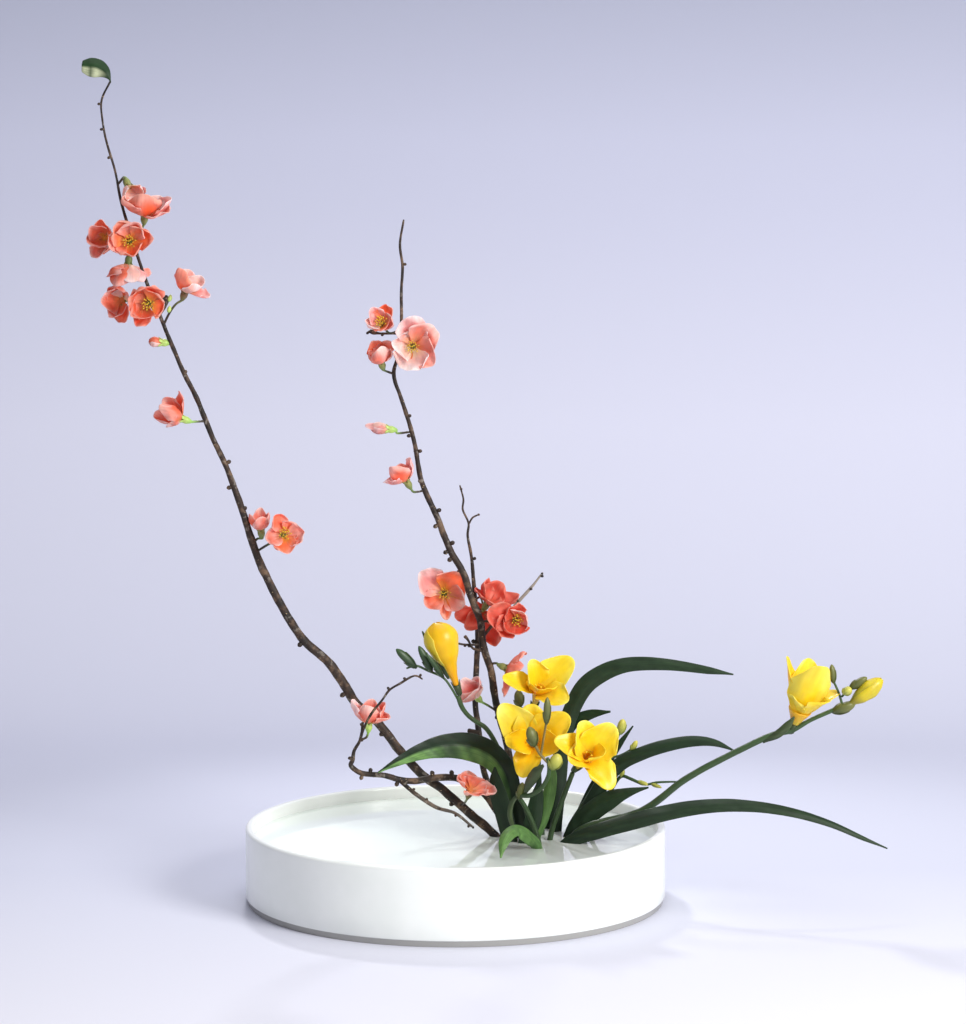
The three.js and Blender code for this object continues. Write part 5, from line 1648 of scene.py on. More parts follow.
@dataclass
class FreesiaBlooms:
    """Every freesia bloom, the closed one and the yellow bud."""

    finishes: Finishes
    funnel: tuple[Spot, ...] = (
        (0.0, 1.8), (3.0, 2.1), (8.0, 2.9), (14.0, 3.9), (19.0, 4.8), (23.0, 5.4),
        (22.6, 4.8), (18.0, 4.0), (12.0, 2.6), (6.0, 1.2),
    )
    funnel_length: float = 22.0
    funnel_shades: tuple[str, ...] = ("#d8c63c", "#fac81c", "#fbb814")
    closed_profile: tuple[Spot, ...] = (
        (0.0, 0.15), (0.12, 0.19), (0.3, 0.4), (0.52, 0.78), (0.72, 1.0), (0.88, 0.86),
        (0.96, 0.5), (1.0, 0.03),
    )
    closed_size: Spot = (51.5, 13.2)
    bud_profile: tuple[Spot, ...] = ((0.0, 0.25), (0.35, 0.8), (0.6, 1.0), (0.85, 0.7), (1.0, 0.15))
    bud_size: Spot = (31.0, 7.2)
    bud_seat: Triple = (297.6, -24.3, 154.6)
    bud_facing: Triple = (0.74, -0.05, 0.6)

    def build(self) -> None:
        """Builds one piece for each bloom, and one for all their stamens."""
        for number, bloom in enumerate(FREESIAS, 1):
            draft = Draft()
            if bloom.tepals:
                self._open(draft, bloom, number)
            else:
                furled = FurledPetals(3, *self.closed_size, self.closed_profile, 0.09, 0.8)
                furled.grow(draft, bloom.at, bloom.axis, (GOLD, LEMON, AMBER))
            name = f"freesia_bloom_{number}"
            settle(draft.made(f"{name}_tepals", [self.finishes.tepal]), "yellow", name)
        draft = Draft()
        furled = FurledPetals(3, *self.bud_size, self.bud_profile, 0.1, 0.4)
        way = Vector(self.bud_facing).normalized()
        furled.grow(draft, Vector(self.bud_seat), way, [YELLOW_BUD])
        bud = draft.made("freesia_bud_tepals", [self.finishes.tepal])
        settle(bud, "yellow", "freesia_bud_yellow")
        self._stamens()

    def _open(self, draft: Draft, bloom: FreesiaBloom, number: int) -> None:
        """Adds a funnel and its spreading tepals.

        Args:
            draft: what they are added to.
            bloom: the bloom.
            number: its number, which sets the tepals' creases.
        """
        green, gold, amber = (linear(code) for code in self.funnel_shades)
        tints = [blended(green, gold, i / 4) for i in range(6)] + [amber] * 4
        stretch = bloom.tube / self.funnel_length
        funnel = [(height * stretch, size * bloom.girth) for height, size in self.funnel]
        draft.turned(bloom.at, bloom.axis, funnel, 18, tints, lobes=6, depth=0.05)
        mouth = bloom.at + bloom.axis * bloom.tube
        form = replace(FREESIA_TEPALS, radius=FREESIA_TEPALS.radius * bloom.girth)
        for k, tepal in enumerate(bloom.tepals):
            form.grow(draft, mouth, bloom.axis, tepal, 300 + number * 7 + k)

    def _stamens(self) -> None:
        """Builds the three stamens of each open bloom."""
        opened = [bloom for bloom in FREESIAS if bloom.tepals]
        seats = [(bloom.at + bloom.axis * bloom.tube * 0.55, bloom.axis) for bloom in opened]
        made = grown_stamens(
            "freesia_stamens", seats,
            {
                "Count": 3, "Spread": 1.4 * MM, "Length": 14.0 * MM, "Lean": 0.2,
                "Thread": 0.35 * MM, "Anther": 1.0 * MM, "Seed": 3,
                "Material": self.finishes.stamen,
            },
        )
        settle(made, "yellow")


@dataclass(frozen=True)
class Bract:
    """A pointed bract that clasps a round form.

    It holds how far along the axis and from it each of its rows is, half the angle that it spans
    at its foot, how much of that it has lost at its tip, and its thickness.
    """

    line: Sequence[Spot]
    spread: float
    taper: float
    thickness: float
    columns: int = 7

    def grow(
        self, draft: Draft, at: Vector, axis: Vector, start: float, shades: Sequence[Colour]
    ) -> None:
        """Adds the bract to a draft.

        Args:
            draft: what it is added to.
            at: the place on the axis that its rows are measured from.
            axis: the form's axis.
            start: the angle of its middle round the axis, in radians.
            shades: the colour of each row.
        """
        rows = []
        for i, (height, radius) in enumerate(self.line):
            spread = self.spread * (1 - self.taper * (i / (len(self.line) - 1)) ** 2)
            ways = spokes(axis, [start + s * spread for s in across(self.columns)])
            rows.append([at + axis * height + way * radius for way in ways])
        draft.sheet(rows, [[shade] * self.columns for shade in shades], self.thickness)


@dataclass(frozen=True)
class GreenBud(Seated):
    """A green bud: its foot, the way it points, its length and its girth."""

    seat: Triple
    facing: Triple
    length: float
    radius: float
    tissue: Tissue = Tissue.BUD
    profile: tuple[Spot, ...] = (
        (-0.06, 0.3), (0.08, 0.66), (0.26, 0.95), (0.48, 1.0), (0.7, 0.95), (0.86, 0.7),
        (0.96, 0.36), (1.0, 0.1),
    )
    bracts: Spot = (0.66, 0.46)

    def grow(self, draft: Draft) -> None:
        """Adds the bud to a draft, with two bracts lapped round it.

        Args:
            draft: what it is added to.
        """
        foot, tip = self.tissue.colours()
        form = [(share * self.length, width * self.radius) for share, width in self.profile]
        tints = [blended(foot, tip, i / 6) for i in range(len(form))]
        draft.turned(self.at, self.axis, form, 12, tints, lobes=3, depth=0.07)
        shares = [i / 6 for i in range(7)]
        for k, reach in enumerate(self.bracts):
            outs = [self.radius * (1.05 * along(self.profile, t * reach) + 0.06 * t) for t in shares]
            line = [(self.length * reach * t, out) for t, out in zip(shares, outs)]
            shades = [blended(foot, tip, 0.15 + 0.5 * t) for t in shares]
            bract = Bract(line, 1.25, 0.75, 0.35)
            bract.grow(draft, self.at, self.axis, math.pi * k + 0.4, shades)


@dataclass(frozen=True)
class Blade:
    """A leaf blade: stations with half its width at each, and how it faces and folds."""

    path: tuple[Station, ...]
    facing: Triple
    fold: float
    tissue: Tissue = Tissue.BLADE
    light_side: int = 0
    pale: Tissue = Tissue.FRESH_BLADE
    columns: int = 9
    thickness: float = 0.9

    def grow(self, draft: Draft, line: Track) -> None:
        """Adds the blade along a line to a draft.

        Args:
            draft: what it is added to.
            line: the blade's line, sampled.
        """
        foot, tip = self.tissue.colours()
        light = self.pale.colours()
        rows, tints = [], []
        count = len(line.places)
        for i, (place, tangent, size) in enumerate(zip(line.places, line.tangents, line.sizes)):
            side = tangent.cross(Vector(self.facing)).normalized()
            over = side.cross(tangent).normalized()
            row, shades = [], []
            for s in across(self.columns):
                crease = math.hypot(s, 0.12) - 0.12
                wave = 0.12 * noise.noise(Vector((s * 0.8 + size, place.x / 26, place.z / 26)))
                row.append(place + side * (s * size) - over * (size * (self.fold * crease + wave)))
                streak = noise.noise(Vector((s * 2.6 + place.y, i * 0.06, self.fold * 30)))
                shade = blended(foot, tip, 0.7 * i / count + 0.45 * streak + 0.15)
                # one half may be painted lighter: painted light on the lit half of the arching left
                # leaf, the pale back turned over on the quince leaf; a short stretch of painted shade
                # breaks it
                lit = eased(0.0, 0.15, s * self.light_side)
                lit *= 1 - 0.8 * math.exp(-(((i / count - 0.68) / 0.06) ** 2))
                pale = blended(*light, 0.78 + 0.9 * streak)
                shades.append(blended(shade, pale, lit * eased(0.2, 0.45, i / count)))
            rows.append(row)
            tints.append(shades)
        draft.sheet(rows, tints, self.thickness)


@dataclass
class FreesiaStem:
    """A green stem with its side stalks, buds, bracts and the cups under its blooms."""

    name: str
    path: tuple[Station, ...]
    side: tuple[tuple[Station, ...], ...] = ()
    buds: tuple[GreenBud, ...] = ()
    blades: tuple[Blade, ...] = ()
    stalk: Tissue = Tissue.STEM
    draft: Draft = field(default_factory=Draft)
    cup: tuple[Spot, ...] = ((-8.6, 1.3), (-6.5, 1.9), (-3.5, 2.5), (-0.8, 2.7), (0.2, 2.2))

    def build(self, finishes: Finishes) -> None:
        """Builds the stem.

        Args:
            finishes: the materials.
        """
        foot, tip = Tissue.STEM.colours()
        line = Track.through(self.path, 2.4).above_plate()
        count = len(line.places)
        self.draft.tube(line, 14, [blended(foot, tip, i / count) for i in range(count)], rough=0.05)
        for stalk in self.side:
            track = Track.through(stalk, 1.4)
            self.draft.tube(track, 9, [self.stalk.colours()[1]] * len(track.places), rough=0.05)
        for bud in self.buds:
            bud.grow(self.draft)
        for blade in self.blades:
            blade.grow(self.draft, Track.through(blade.path, 1.6))
        for bloom in FREESIAS:
            if bloom.stem == self.name:
                self._cup(line, bloom)
        settle(self.draft.made(self.name, [finishes.stem]), "stem", self.name)

    def _cup(self, line: Track, bloom: FreesiaBloom) -> None:
        """Adds the green cup under a bloom, with two bracts round it.

        Args:
            line: the stem's line.
            bloom: the bloom.
        """
        at, axis = bloom.at, bloom.axis
        foot, tip = Tissue.BRACT.colours()
        base = at - axis * 8.0
        root = line.nearest(base)
        if (base - root).length > 1.0:
            stalk = Track.through([(*root, 1.7), (*base, 1.6)], 1.2)
            self.draft.tube(stalk, 10, [foot] * len(stalk.places))
        self.draft.turned(at, axis, self.cup, 14, [blended(foot, tip, i / 4) for i in range(5)])
        shares = [i / 6 for i in range(7)]
        bract = Bract([(-7.5 + 11.5 * t, 2.0 + 1.5 * t) for t in shares], 1.3, 0.8, 0.5)
        for start in (0.0, math.pi):
            bract.grow(self.draft, at, axis, start, [blended(foot, tip, 0.2 + 0.8 * t) for t in shares])


# -------- stems and leaves
BRANCHES = (
    QuinceBranch(TALL, path=(
        (62, 2, 12, 3.4), (32, 2, 47, 3.4), (8, 3, 68, 3.5), (-14, 4, 87, 3.5), (-24, 4, 94, 3.5),
        (-41, 0, 113, 3.5), (-59, -3, 137, 3.5), (-76, -7, 153, 3.6), (-81, -10, 162, 3.7),
        (-95, -14, 184, 3.6), (-114, -17, 202, 3.4), (-129, -21, 226, 3.2), (-145, -24, 259, 3.1),
        (-150, -28, 273, 3), (-159, -31, 303, 2.6), (-170, -35, 335, 2.2), (-181, -38, 360, 2),
        (-191, -42, 387, 1.9), (-201, -45, 408, 1.7), (-208, -49, 426, 1.6), (-216, -52, 447, 1.4),
        (-226, -56, 474, 1.3), (-232, -59, 493, 1.2), (-243, -63, 532, 1.1), (-247, -66, 555, 0.9),
        (-253, -70, 578, 0.9), (-255, -73, 592, 0.8), (-255, -77, 606, 0.8), (-248, -80, 620, 0.8),
    ), twigs=(
        ((-210, -52, 451, 0.9), (-212, -52, 457, 1), (-212, -52, 460, 2.4), (-212, -52, 464, 1.2)),
    ), knobs=(
        (-3, 73), (-56, 128), (-86, 159), (-104, 194), (-117, 199), (-122, 216), (-141, 251),
        (-157, 304), (-171, 319), (-167, 340), (-178, 354), (-199, 407), (-254, 563), (-259, 585),
        (-259, 603),
    ), shoots=((-209.5, -53, 461, 1.9), (-210, -54, 453, 1.8))),
    QuinceBranch(UPRIGHT, path=(
        (51, 26, 12, 2.9), (48, 26, 44, 2.9), (43, 26, 91, 2.9), (39, 27, 117, 2.9), (31, 27, 147, 2.9),
        (27, 27, 172, 2.9), (21, 27, 192, 2.9), (19, 28, 210, 2.9), (12, 28, 228, 2.8),
        (6, 28, 247, 2.7), (-5, 28, 267, 2.6), (-14, 29, 290, 2.4), (-26, 29, 318, 2.1),
        (-31, 30, 346, 1.9), (-36, 30, 365, 1.7), (-42, 30, 383, 1.6), (-47, 30, 400, 1.5),
        (-43, 31, 416, 1.4), (-41, 31, 439, 1.3), (-41, 31, 464, 1.2), (-40, 31, 481, 1.1),
        (-42, 32, 498, 1), (-39, 32, 517, 0.8),
    ), twigs=(
        (
            (21, 28, 198, 1.4), (28, 33, 206, 1.4), (41, 36, 216, 1.4), (50, 37, 226, 1.4),
            (59, 38, 236, 1.1), (66, 39, 245, 0.8),
        ),
        ((22, 27, 187, 1.2), (13, 23, 190, 1.1), (10, 21, 196, 0.9), (7, 20, 200, 1.6)),
        ((12, 23, 190, 1), (6, 22, 193, 0.9), (2, 21, 194, 0.9)),
        ((-49, 28, 431, 1.4), (-58, 26, 431, 1), (-62, 24, 432, 2), (-65, 23, 433, 1.6)),
    ), knobs=(
        (-36, 483), (-37, 440), (-35, 368), (-38, 352), (-26, 341), (-27, 318), (-12, 296), (-16, 283),
        (-2, 271), (-9, 263), (-7, 256), (32, 136),
    ), pale_twig=0),
    QuinceBranch(BACK, path=(
        (56, 37, 12, 2.6), (46, 39, 41, 2.6), (22, 48, 88, 2.5), (18, 54, 118, 2.4), (15, 58, 142, 2.4),
        (16, 60, 171, 2.3), (17, 61, 199, 2.2), (14, 62, 232, 1.7), (12, 62, 256, 1.3), (9, 63, 273, 1),
        (10, 64, 281, 0.9), (5, 65, 293, 0.8), (6, 65, 299, 0.8), (3, 66, 311, 0.7),
    ), twigs=(
        ((10, 64, 282, 0.8), (13, 64, 286, 0.8), (17, 64, 288, 0.7)),
        ((19, 53, 119, 1.8), (9, 52, 121, 1.7)),
    ), knobs=((4, 308), (16, 255), (10, 154), (22, 155), (12, 190))),
    QuinceBranch(CROOKED, path=(
        (47, 12, 12, 2.8), (42, 12, 47, 2.8), (32, 9, 65, 2.7), (19, 6, 83, 2.7), (2, 0, 93, 2.7),
        (-17, -8, 95, 2.7), (-31, -11, 93, 2.6), (-43, -14, 95, 2.4), (-54, -18, 99, 2.3),
        (-72, -23, 102, 2.1), (-79, -28, 109, 1.9), (-77, -32, 113, 1.6), (-76, -36, 121, 1.4),
        (-72, -39, 128, 1.2), (-68, -44, 140, 1), (-62, -48, 152, 1), (-54, -48, 162, 0.9),
        (-49, -47, 169, 0.9), (-41, -47, 174, 0.9), (-29, -46, 180, 0.8), (-24, -46, 177, 0.7),
    ), twigs=(
        ((-72, -39, 127, 1), (-70, -41, 136, 0.9), (-69, -42, 144, 1.2)),
        (
            (-43, -14, 94, 1.7), (-30, -20, 85, 1.7), (-14, -22, 75, 1.5), (0, -24, 71, 1.3),
            (13, -26, 61, 1),
        ),
    ), knobs=(
        (-64, 104), (-72, 95), (-46, 88), (-18, 101), (-3, 99), (-80, 115), (-70, 130), (-51, 173),
        (-38, 178), (-24, 184),
    # the pale tip of this twig is a painted highlight
    ), pale_twig=1, paleness=0.22),
)

STEMS = (
    FreesiaStem("freesia_stem_left", path=(
        (60, 17, 12, 2.2), (58, 15, 48, 2.2), (42, 6, 89, 2), (32, 3, 117, 1.9), (23, 1, 132, 1.9),
        (16, -1, 137, 1.8), (10, -3, 142, 1.8), (5, -5, 149, 1.9), (2, -6, 158, 2),
    ), side=(
        (
            (4, -5, 151, 1), (-3, -7, 164, 1), (-9, -8, 172, 1), (-21, -10, 178, 1), (-30, -12, 182, 1),
            (-37, -13, 180, 0.8),
        ),
    ), buds=(
        GreenBud((-18, -12, 178), (-0.44, -0.15, 0.9), 22, 3.2),
        GreenBud((-30, -13, 181), (-0.7, -0.2, 0.7), 21, 3.4),
        GreenBud((-9, -13, 173), (-0.55, -0.3, 0.85), 24, 2.2),
    ), blades=(
        Blade((
            (-5, -8, 171, 1.2), (-10.5, -10, 180, 2.6), (-16.5, -11, 190, 3), (-21.5, -10, 200, 2.4),
            (-25, -9, 208, 0.6),
        ), facing=(-0.6, -0.75, -0.1), fold=0.3, tissue=Tissue.BRACT),
    )),
    FreesiaStem("freesia_stem_centre", path=(
        (66, 8, 12, 2.4), (66, 8, 48, 2.4), (64, 6, 80, 2.3), (63, 4, 112, 2.1), (62, 8, 130, 1.9),
        (59, 3, 145, 1.8),
    ), side=(((61, 6, 138, 1.2), (54, 8, 143, 1), (49, 9, 147, 1)),), buds=(
        GreenBud((49, 9, 147), (-0.1, 0, 1), 13, 4, Tissue.OLIVE_BUD),
    )),
    FreesiaStem("freesia_stem_front", path=(
        (65, -28, 12, 2.2), (63, -30, 50, 2.1), (53, -37, 78, 1.9), (48, -43, 88, 1.8),
        (56, -51, 90, 1.8), (65, -60, 98, 1.7), (70, -66, 110, 1.6), (69, -68, 122, 1.3),
    ), side=(
        ((69, -67, 118, 1.2), (63, -68, 125, 1.2), (60, -69, 131, 1.3)),
        ((64, -68, 124, 1), (66, -69, 137, 0.9), (68, -70, 149, 1)),
    ), buds=(
        GreenBud((59, -69, 131), (-0.25, -0.1, 0.95), 15, 4.4, Tissue.OLIVE_BUD),
        GreenBud((68, -70, 148), (0.03, -0.1, 1), 20, 2.9, Tissue.OLIVE_BUD),
        GreenBud((48, -43, 86), (0.2, -0.3, 0.95), 14, 3.2, Tissue.OLIVE_BUD),
        GreenBud((72, -66, 113), (0.4, -0.2, 0.85), 13, 5, Tissue.PALE_BUD),
    ), blades=(
        Blade((
            (49, -43, 90, 1.2), (43, -45, 84, 1.8), (41, -46, 75, 2), (43, -46, 66, 1.6),
            (46, -44, 58, 0.8),
        ), facing=(-0.3, -0.9, 0.2), fold=0.25, tissue=Tissue.BRACT),
        Blade(((52, -47, 90, 1.2), (55, -55, 100, 4), (60, -62, 109, 4.6), (66, -66, 116, 1)),
            facing=(-0.2, -0.85, 0.4), fold=0.25, tissue=Tissue.BRACT),
    ), stalk=Tissue.CUT_STALK),
    FreesiaStem("freesia_stem_low", path=(
        (71, -12, 12, 2.2), (72, -12, 49, 2.2), (81, -19, 80, 2), (89, -21, 102, 1.9),
    )),
    FreesiaStem("freesia_stem_right", path=(
        (82, -12, 12, 3), (91, -12, 52, 3), (142, -14, 71, 2.9), (175, -16, 96, 2.7),
        (212, -19, 117, 2.5), (241, -21, 131, 2.4), (254, -21, 134, 2.2), (268, -22, 142, 1.7),
        (283, -23, 149, 1.7), (294, -24, 154, 1.8), (299.2, -24.4, 155.4, 0.9),
    ), side=(
        ((292, -24, 153, 1.1), (289, -24, 163, 1), (285, -24, 172, 0.9)),
        ((291, -24, 160, 1), (298, -25, 168, 1)),
    ), buds=(
        GreenBud((285, -24, 171), (-0.12, 0, 0.98), 14, 2.6, Tissue.OLIVE_BUD),
        GreenBud((297.5, -25, 167), (0.8, -0.1, 0.55), 15, 3.3, Tissue.OLIVE_BUD),
        GreenBud((292, -27, 163.5), (0.7, -0.5, 0.5), 8, 3.5, Tissue.PALE_BUD),
        GreenBud((285, -23, 148.5), (0.85, -0.05, 0.35), 18, 4.3, Tissue.OLIVE_BUD),
    ), blades=(
        Blade(((232, -22, 125, 1), (243, -26, 132, 3.2), (250, -29, 139, 3), (255, -31, 146, 0.8)),
            facing=(-0.1, -0.95, 0.3), fold=0.25, tissue=Tissue.BRACT),
    )),
    FreesiaStem("freesia_stem_buds", path=(
        (84, 12, 12, 2), (85, 15, 46, 2), (103, 15, 78, 1.7), (115, 12, 100, 1.4), (119, 10, 109, 1.2),
    ), side=(
        ((118, 10, 107, 1.1), (127, 8, 110, 0.9), (135, 6, 115, 0.9)),
        ((116, 12, 102, 1.1), (122, 7, 118, 1), (125, 3, 128, 1)),
    ), buds=(
        GreenBud((134, 6, 114), (0.5, -0.2, 0.85), 9, 2.2, Tissue.PALE_BUD),
        GreenBud((125, 3, 127), (0.2, -0.3, 0.9), 13, 3.6, Tissue.PALE_BUD),
    )),
    FreesiaStem("freesia_stem_spike", path=(
        (97, 22, 12, 1.9), (100, 22, 45, 1.9), (115, 16, 73, 1.6), (127, 10, 93, 1.4),
        (133, 6, 92, 1.3), (145, 2, 88, 1.1), (153, 0, 90, 1), (171, -2, 91, 0.7),
    ), buds=(
        GreenBud((127, 10, 92), (0.1, -0.3, 0.9), 9, 1.8, Tissue.PALE_BUD),
        GreenBud((139, 4, 90), (0.8, -0.3, -0.2), 9, 1.8, Tissue.PALE_BUD),
        GreenBud((149, 1, 89), (0.9, -0.3, -0.3), 9, 1.5, Tissue.PALE_BUD),
    )),
)

BLADES = {
    "leaf_arching_back": Blade((
        (77, 18, 12, 4), (77, 18, 46, 4.5), (80, 19, 89, 5.5), (82, 20, 116, 6), (88, 20, 140, 6.5),
        (99, 20, 161, 7), (112, 20, 171, 6.8), (130, 18, 178, 6), (159, 15, 179, 4.8),
        (193, 10, 175, 3), (212, 8, 172, 0.6),
    ), facing=(0.1, -0.92, 0.4), fold=0.2, tissue=Tissue.GREY_BLADE),
    "leaf_arching_right": Blade((
        (92, 4, 12, 4), (94, 4, 48, 4.5), (107, 4, 80, 5.5), (125, 2, 104, 5.8), (142, 0, 113, 5.5),
        (159, -2, 119, 5.2), (181, -4, 123, 4.5), (197, -6, 122, 3), (212, -8, 116, 0.6),
    ), facing=(0, -0.85, 0.5), fold=0.3),
    "leaf_trailing_right": Blade((
        (64, -20, 12, 4.5), (74, -22, 33, 5), (87, -25, 50, 5.5), (109, -28, 59, 6.5),
        (139, -30, 68, 7), (157, -31, 73, 6.8), (191, -33, 79, 6), (224, -35, 79, 4.8),
        (256, -37, 74, 3.8), (282, -38, 66, 2.8), (307, -39, 55, 1.8), (325.4, -40, 47.2, 0.5),
    ), facing=(0, -0.8, 0.6), fold=0.3, tissue=Tissue.GREY_BLADE),
    "leaf_arching_left": Blade((
        (49, -6, 12, 4.5), (50, -6, 47, 5), (44, -6, 76, 7), (38, -8, 99, 9), (27, -12, 114, 10.5),
        (10, -16, 122, 11), (-8, -20, 123, 9.5), (-27, -25, 119, 6.5), (-43, -29, 112, 3.6),
        (-58, -33, 104, 0.6),
    ), facing=(-0.1, -0.85, 0.45), fold=0.45, light_side=-1),
    "leaf_short_front": Blade((
        (62, -41, 12, 3.5), (62, -44, 46, 4), (56, -54, 59, 5.5), (46, -64, 67, 6), (40, -73, 66, 5.5),
        (36, -80, 60, 4), (34, -87, 50, 0.6),
    ), facing=(-0.2, -0.75, 0.6), fold=0.4, tissue=Tissue.FRESH_BLADE),
    "leaf_broad_left": Blade((
        (42, -20, 12, 5), (41, -20, 48, 6), (37, -20, 68, 7), (32, -20, 86, 6.5), (30, -21, 98, 4),
        (30, -21, 106, 0.8),
    ), facing=(-0.2, -0.95, 0.2), fold=0.25),
    "leaf_tall_back": Blade((
        (70, 30, 12, 4), (71, 30, 46, 4.5), (77, 30, 87, 5), (82, 30, 114, 5.2), (89, 29, 130, 5),
        (103, 26, 138, 4), (119, 22, 141, 0.8),
    ), facing=(0, -0.95, 0.3), fold=0.2),
    "leaf_straight_right": Blade((
        (90, 30, 12, 3), (91, 30, 44, 3.2), (103, 26, 76, 3.4), (115, 22, 98, 3.2), (125, 19, 115, 2.6),
        (136, 16, 131, 0.6),
    ), facing=(0.2, -0.95, 0.2), fold=0.2),
    "leaf_broad_right": Blade((
        (84, -2, 12, 5), (88, -3, 48, 6), (99, -4, 64, 8), (115, -6, 77, 8), (131, -8, 84, 4),
        (147, -9, 88, 0.7),
    ), facing=(0.1, -0.8, 0.55), fold=0.25),
    "leaf_upright_centre": Blade((
        (58, -14, 12, 3.5), (60, -15, 48, 4), (66, -17, 65, 4.8), (71, -19, 84, 5), (73, -22, 100, 4),
        (74, -24, 108, 0.7),
    ), facing=(0, -1, 0.1), fold=0.3, tissue=Tissue.FRESH_BLADE),
    "leaf_dark_centre": Blade((
        (51, -25, 12, 4.5), (53, -25, 48, 5.5), (59, -25, 66, 6.5), (62, -26, 84, 5),
        (64, -28, 100, 0.8),
    ), facing=(0.1, -1, 0.1), fold=0.25),
    "quince_leaf": Blade((
        (-248, -80, 618.6, 0.5), (-248.6, -80.3, 621.5, 0.9), (-251.5, -80.5, 626, 4.6),
        (-257.5, -80.5, 629.6, 7.4), (-264, -80.5, 630.6, 7), (-268.8, -80, 630.8, 4.4),
    ), facing=(0.1, -0.95, 0.3), fold=0.3, tissue=Tissue.QUINCE_BLADE, light_side=-1,
        pale=Tissue.LEAF_BACK),
}


@dataclass
class SwordLeaves:
    """The sword-shaped leaves, and the small leaf at the tip of the tall branch."""

    finishes: Finishes
    young: tuple[str, ...] = ("leaf_short_front", "leaf_upright_centre", "quince_leaf")
    step: float = 2.2

    def build(self) -> None:
        """Builds one piece for each leaf."""
        for name, blade in BLADES.items():
            draft = Draft()
            blade.grow(draft, Track.through(blade.path, self.step).above_plate())
            slot = "young_leaf" if name in self.young else "leaf"
            settle(draft.made(f"{name}_blade", [self.finishes.blade]), slot, name)


# -------- bowl, water and holder
# the innermost ring of a turned vessel is this small, in mm, and the cap closes it
LATHE_HOLE = 0.4


def rounded(corner: Spot, radius: float, start: float, steps: int = 6) -> list[Spot]:
    """Points of a quarter round.

    Args:
        corner: centre of the round, as distance from the bowl's axis and height.
        radius: its radius.
        start: the angle that it starts at, in degrees; it ends 90 degrees further on.
        steps: how many steps it is drawn in.

    Returns:
        The points.
    """
    angles = [math.radians(start + 90 * i / steps) for i in range(steps + 1)]
    return [(corner[0] + radius * math.cos(a), corner[1] + radius * math.sin(a)) for a in angles]


def lathe(name: str, profile: Sequence[Spot], sides: int, material: Material) -> Object:
    """A turned vessel about the vertical axis.

    Args:
        name: the object's name.
        profile: radius and height of each ring, from the middle of one face to the other's.
        sides: points round it.
        material: its finish.

    Returns:
        The new object.
    """
    draft = Draft()
    rings = [(height, max(radius, LATHE_HOLE)) for radius, height in profile]
    draft.turned(Vector(), Vector((0, 0, 1)), rings, sides, [grey(0.8)] * len(rings))
    return draft.made(name, [material], smoothing=0)


@dataclass
class Bowl:
    """The shallow straight-sided bowl and the water in it."""

    finishes: Finishes
    radius: float = 160.0
    height: float = 58.0
    wall: float = 6.0
    floor: float = 10.0
    foot_inset: float = 1.4
    foot_height: float = 4.0
    foot_round: float = 0.6
    outer_lip: float = 2.2
    inner_lip: float = 2.0
    fillet: float = 4.0
    water_level: float = 48.0
    seep: float = 0.15
    sides: int = 256

    def build(self) -> None:
        """Builds the bowl and the water."""
        profile = [*self._outside(), *self._inside()]
        bowl = lathe("bowl_glazed", profile, self.sides, self.finishes.stoneware)
        settle(bowl, "porcelain", "bowl")
        water = lathe("water_body", self._water(), self.sides, self.finishes.water)
        settle(water, "water", "water")

    def _outside(self) -> list[Spot]:
        """The base, the foot that is set in, the wall and the outer half of its lip."""
        foot, lip = self.radius - self.foot_inset, self.outer_lip
        step = self.foot_height
        return [
            (0.0, 0.0), (80.0, 0.0), (foot - self.foot_round, 0.0), (foot, self.foot_round),
            (foot, step), (self.radius - 0.4, step + 0.8), (self.radius, step + 1.6),
            (self.radius, 20.0), (self.radius, 40.0),
            *rounded((self.radius - lip, self.height - lip), lip, 0),
        ]

    def _inside(self) -> list[Spot]:
        """The inner half of the lip, the wall, its fillet and the floor."""
        inner, lip, fillet = self.radius - self.wall, self.inner_lip, self.fillet
        curve = rounded((inner - fillet, self.floor + fillet), fillet, -90)
        return [
            *rounded((inner + lip, self.height - lip), lip, 90), (inner, 40.0), (inner, 25.0),
            *reversed(curve), (120.0, self.floor), (60.0, self.floor), (0.0, self.floor),
        ]

    def _water(self) -> list[Spot]:
        """The water, which goes a little into the wall and the floor and climbs at its rim."""
        wet = self.radius - self.wall + self.seep
        low, level = self.floor - self.seep, self.water_level
        return [
            (0.0, low), (wet - 4.2, low), (wet - 1.2, low + 1.2), (wet, low + 4.2),
            (wet, level + 0.7), (wet - 0.5, level + 0.36), (wet - 1.2, level + 0.12),
            (wet - 2.4, level), (120.0, level), (60.0, level), (0.0, level),
        ]


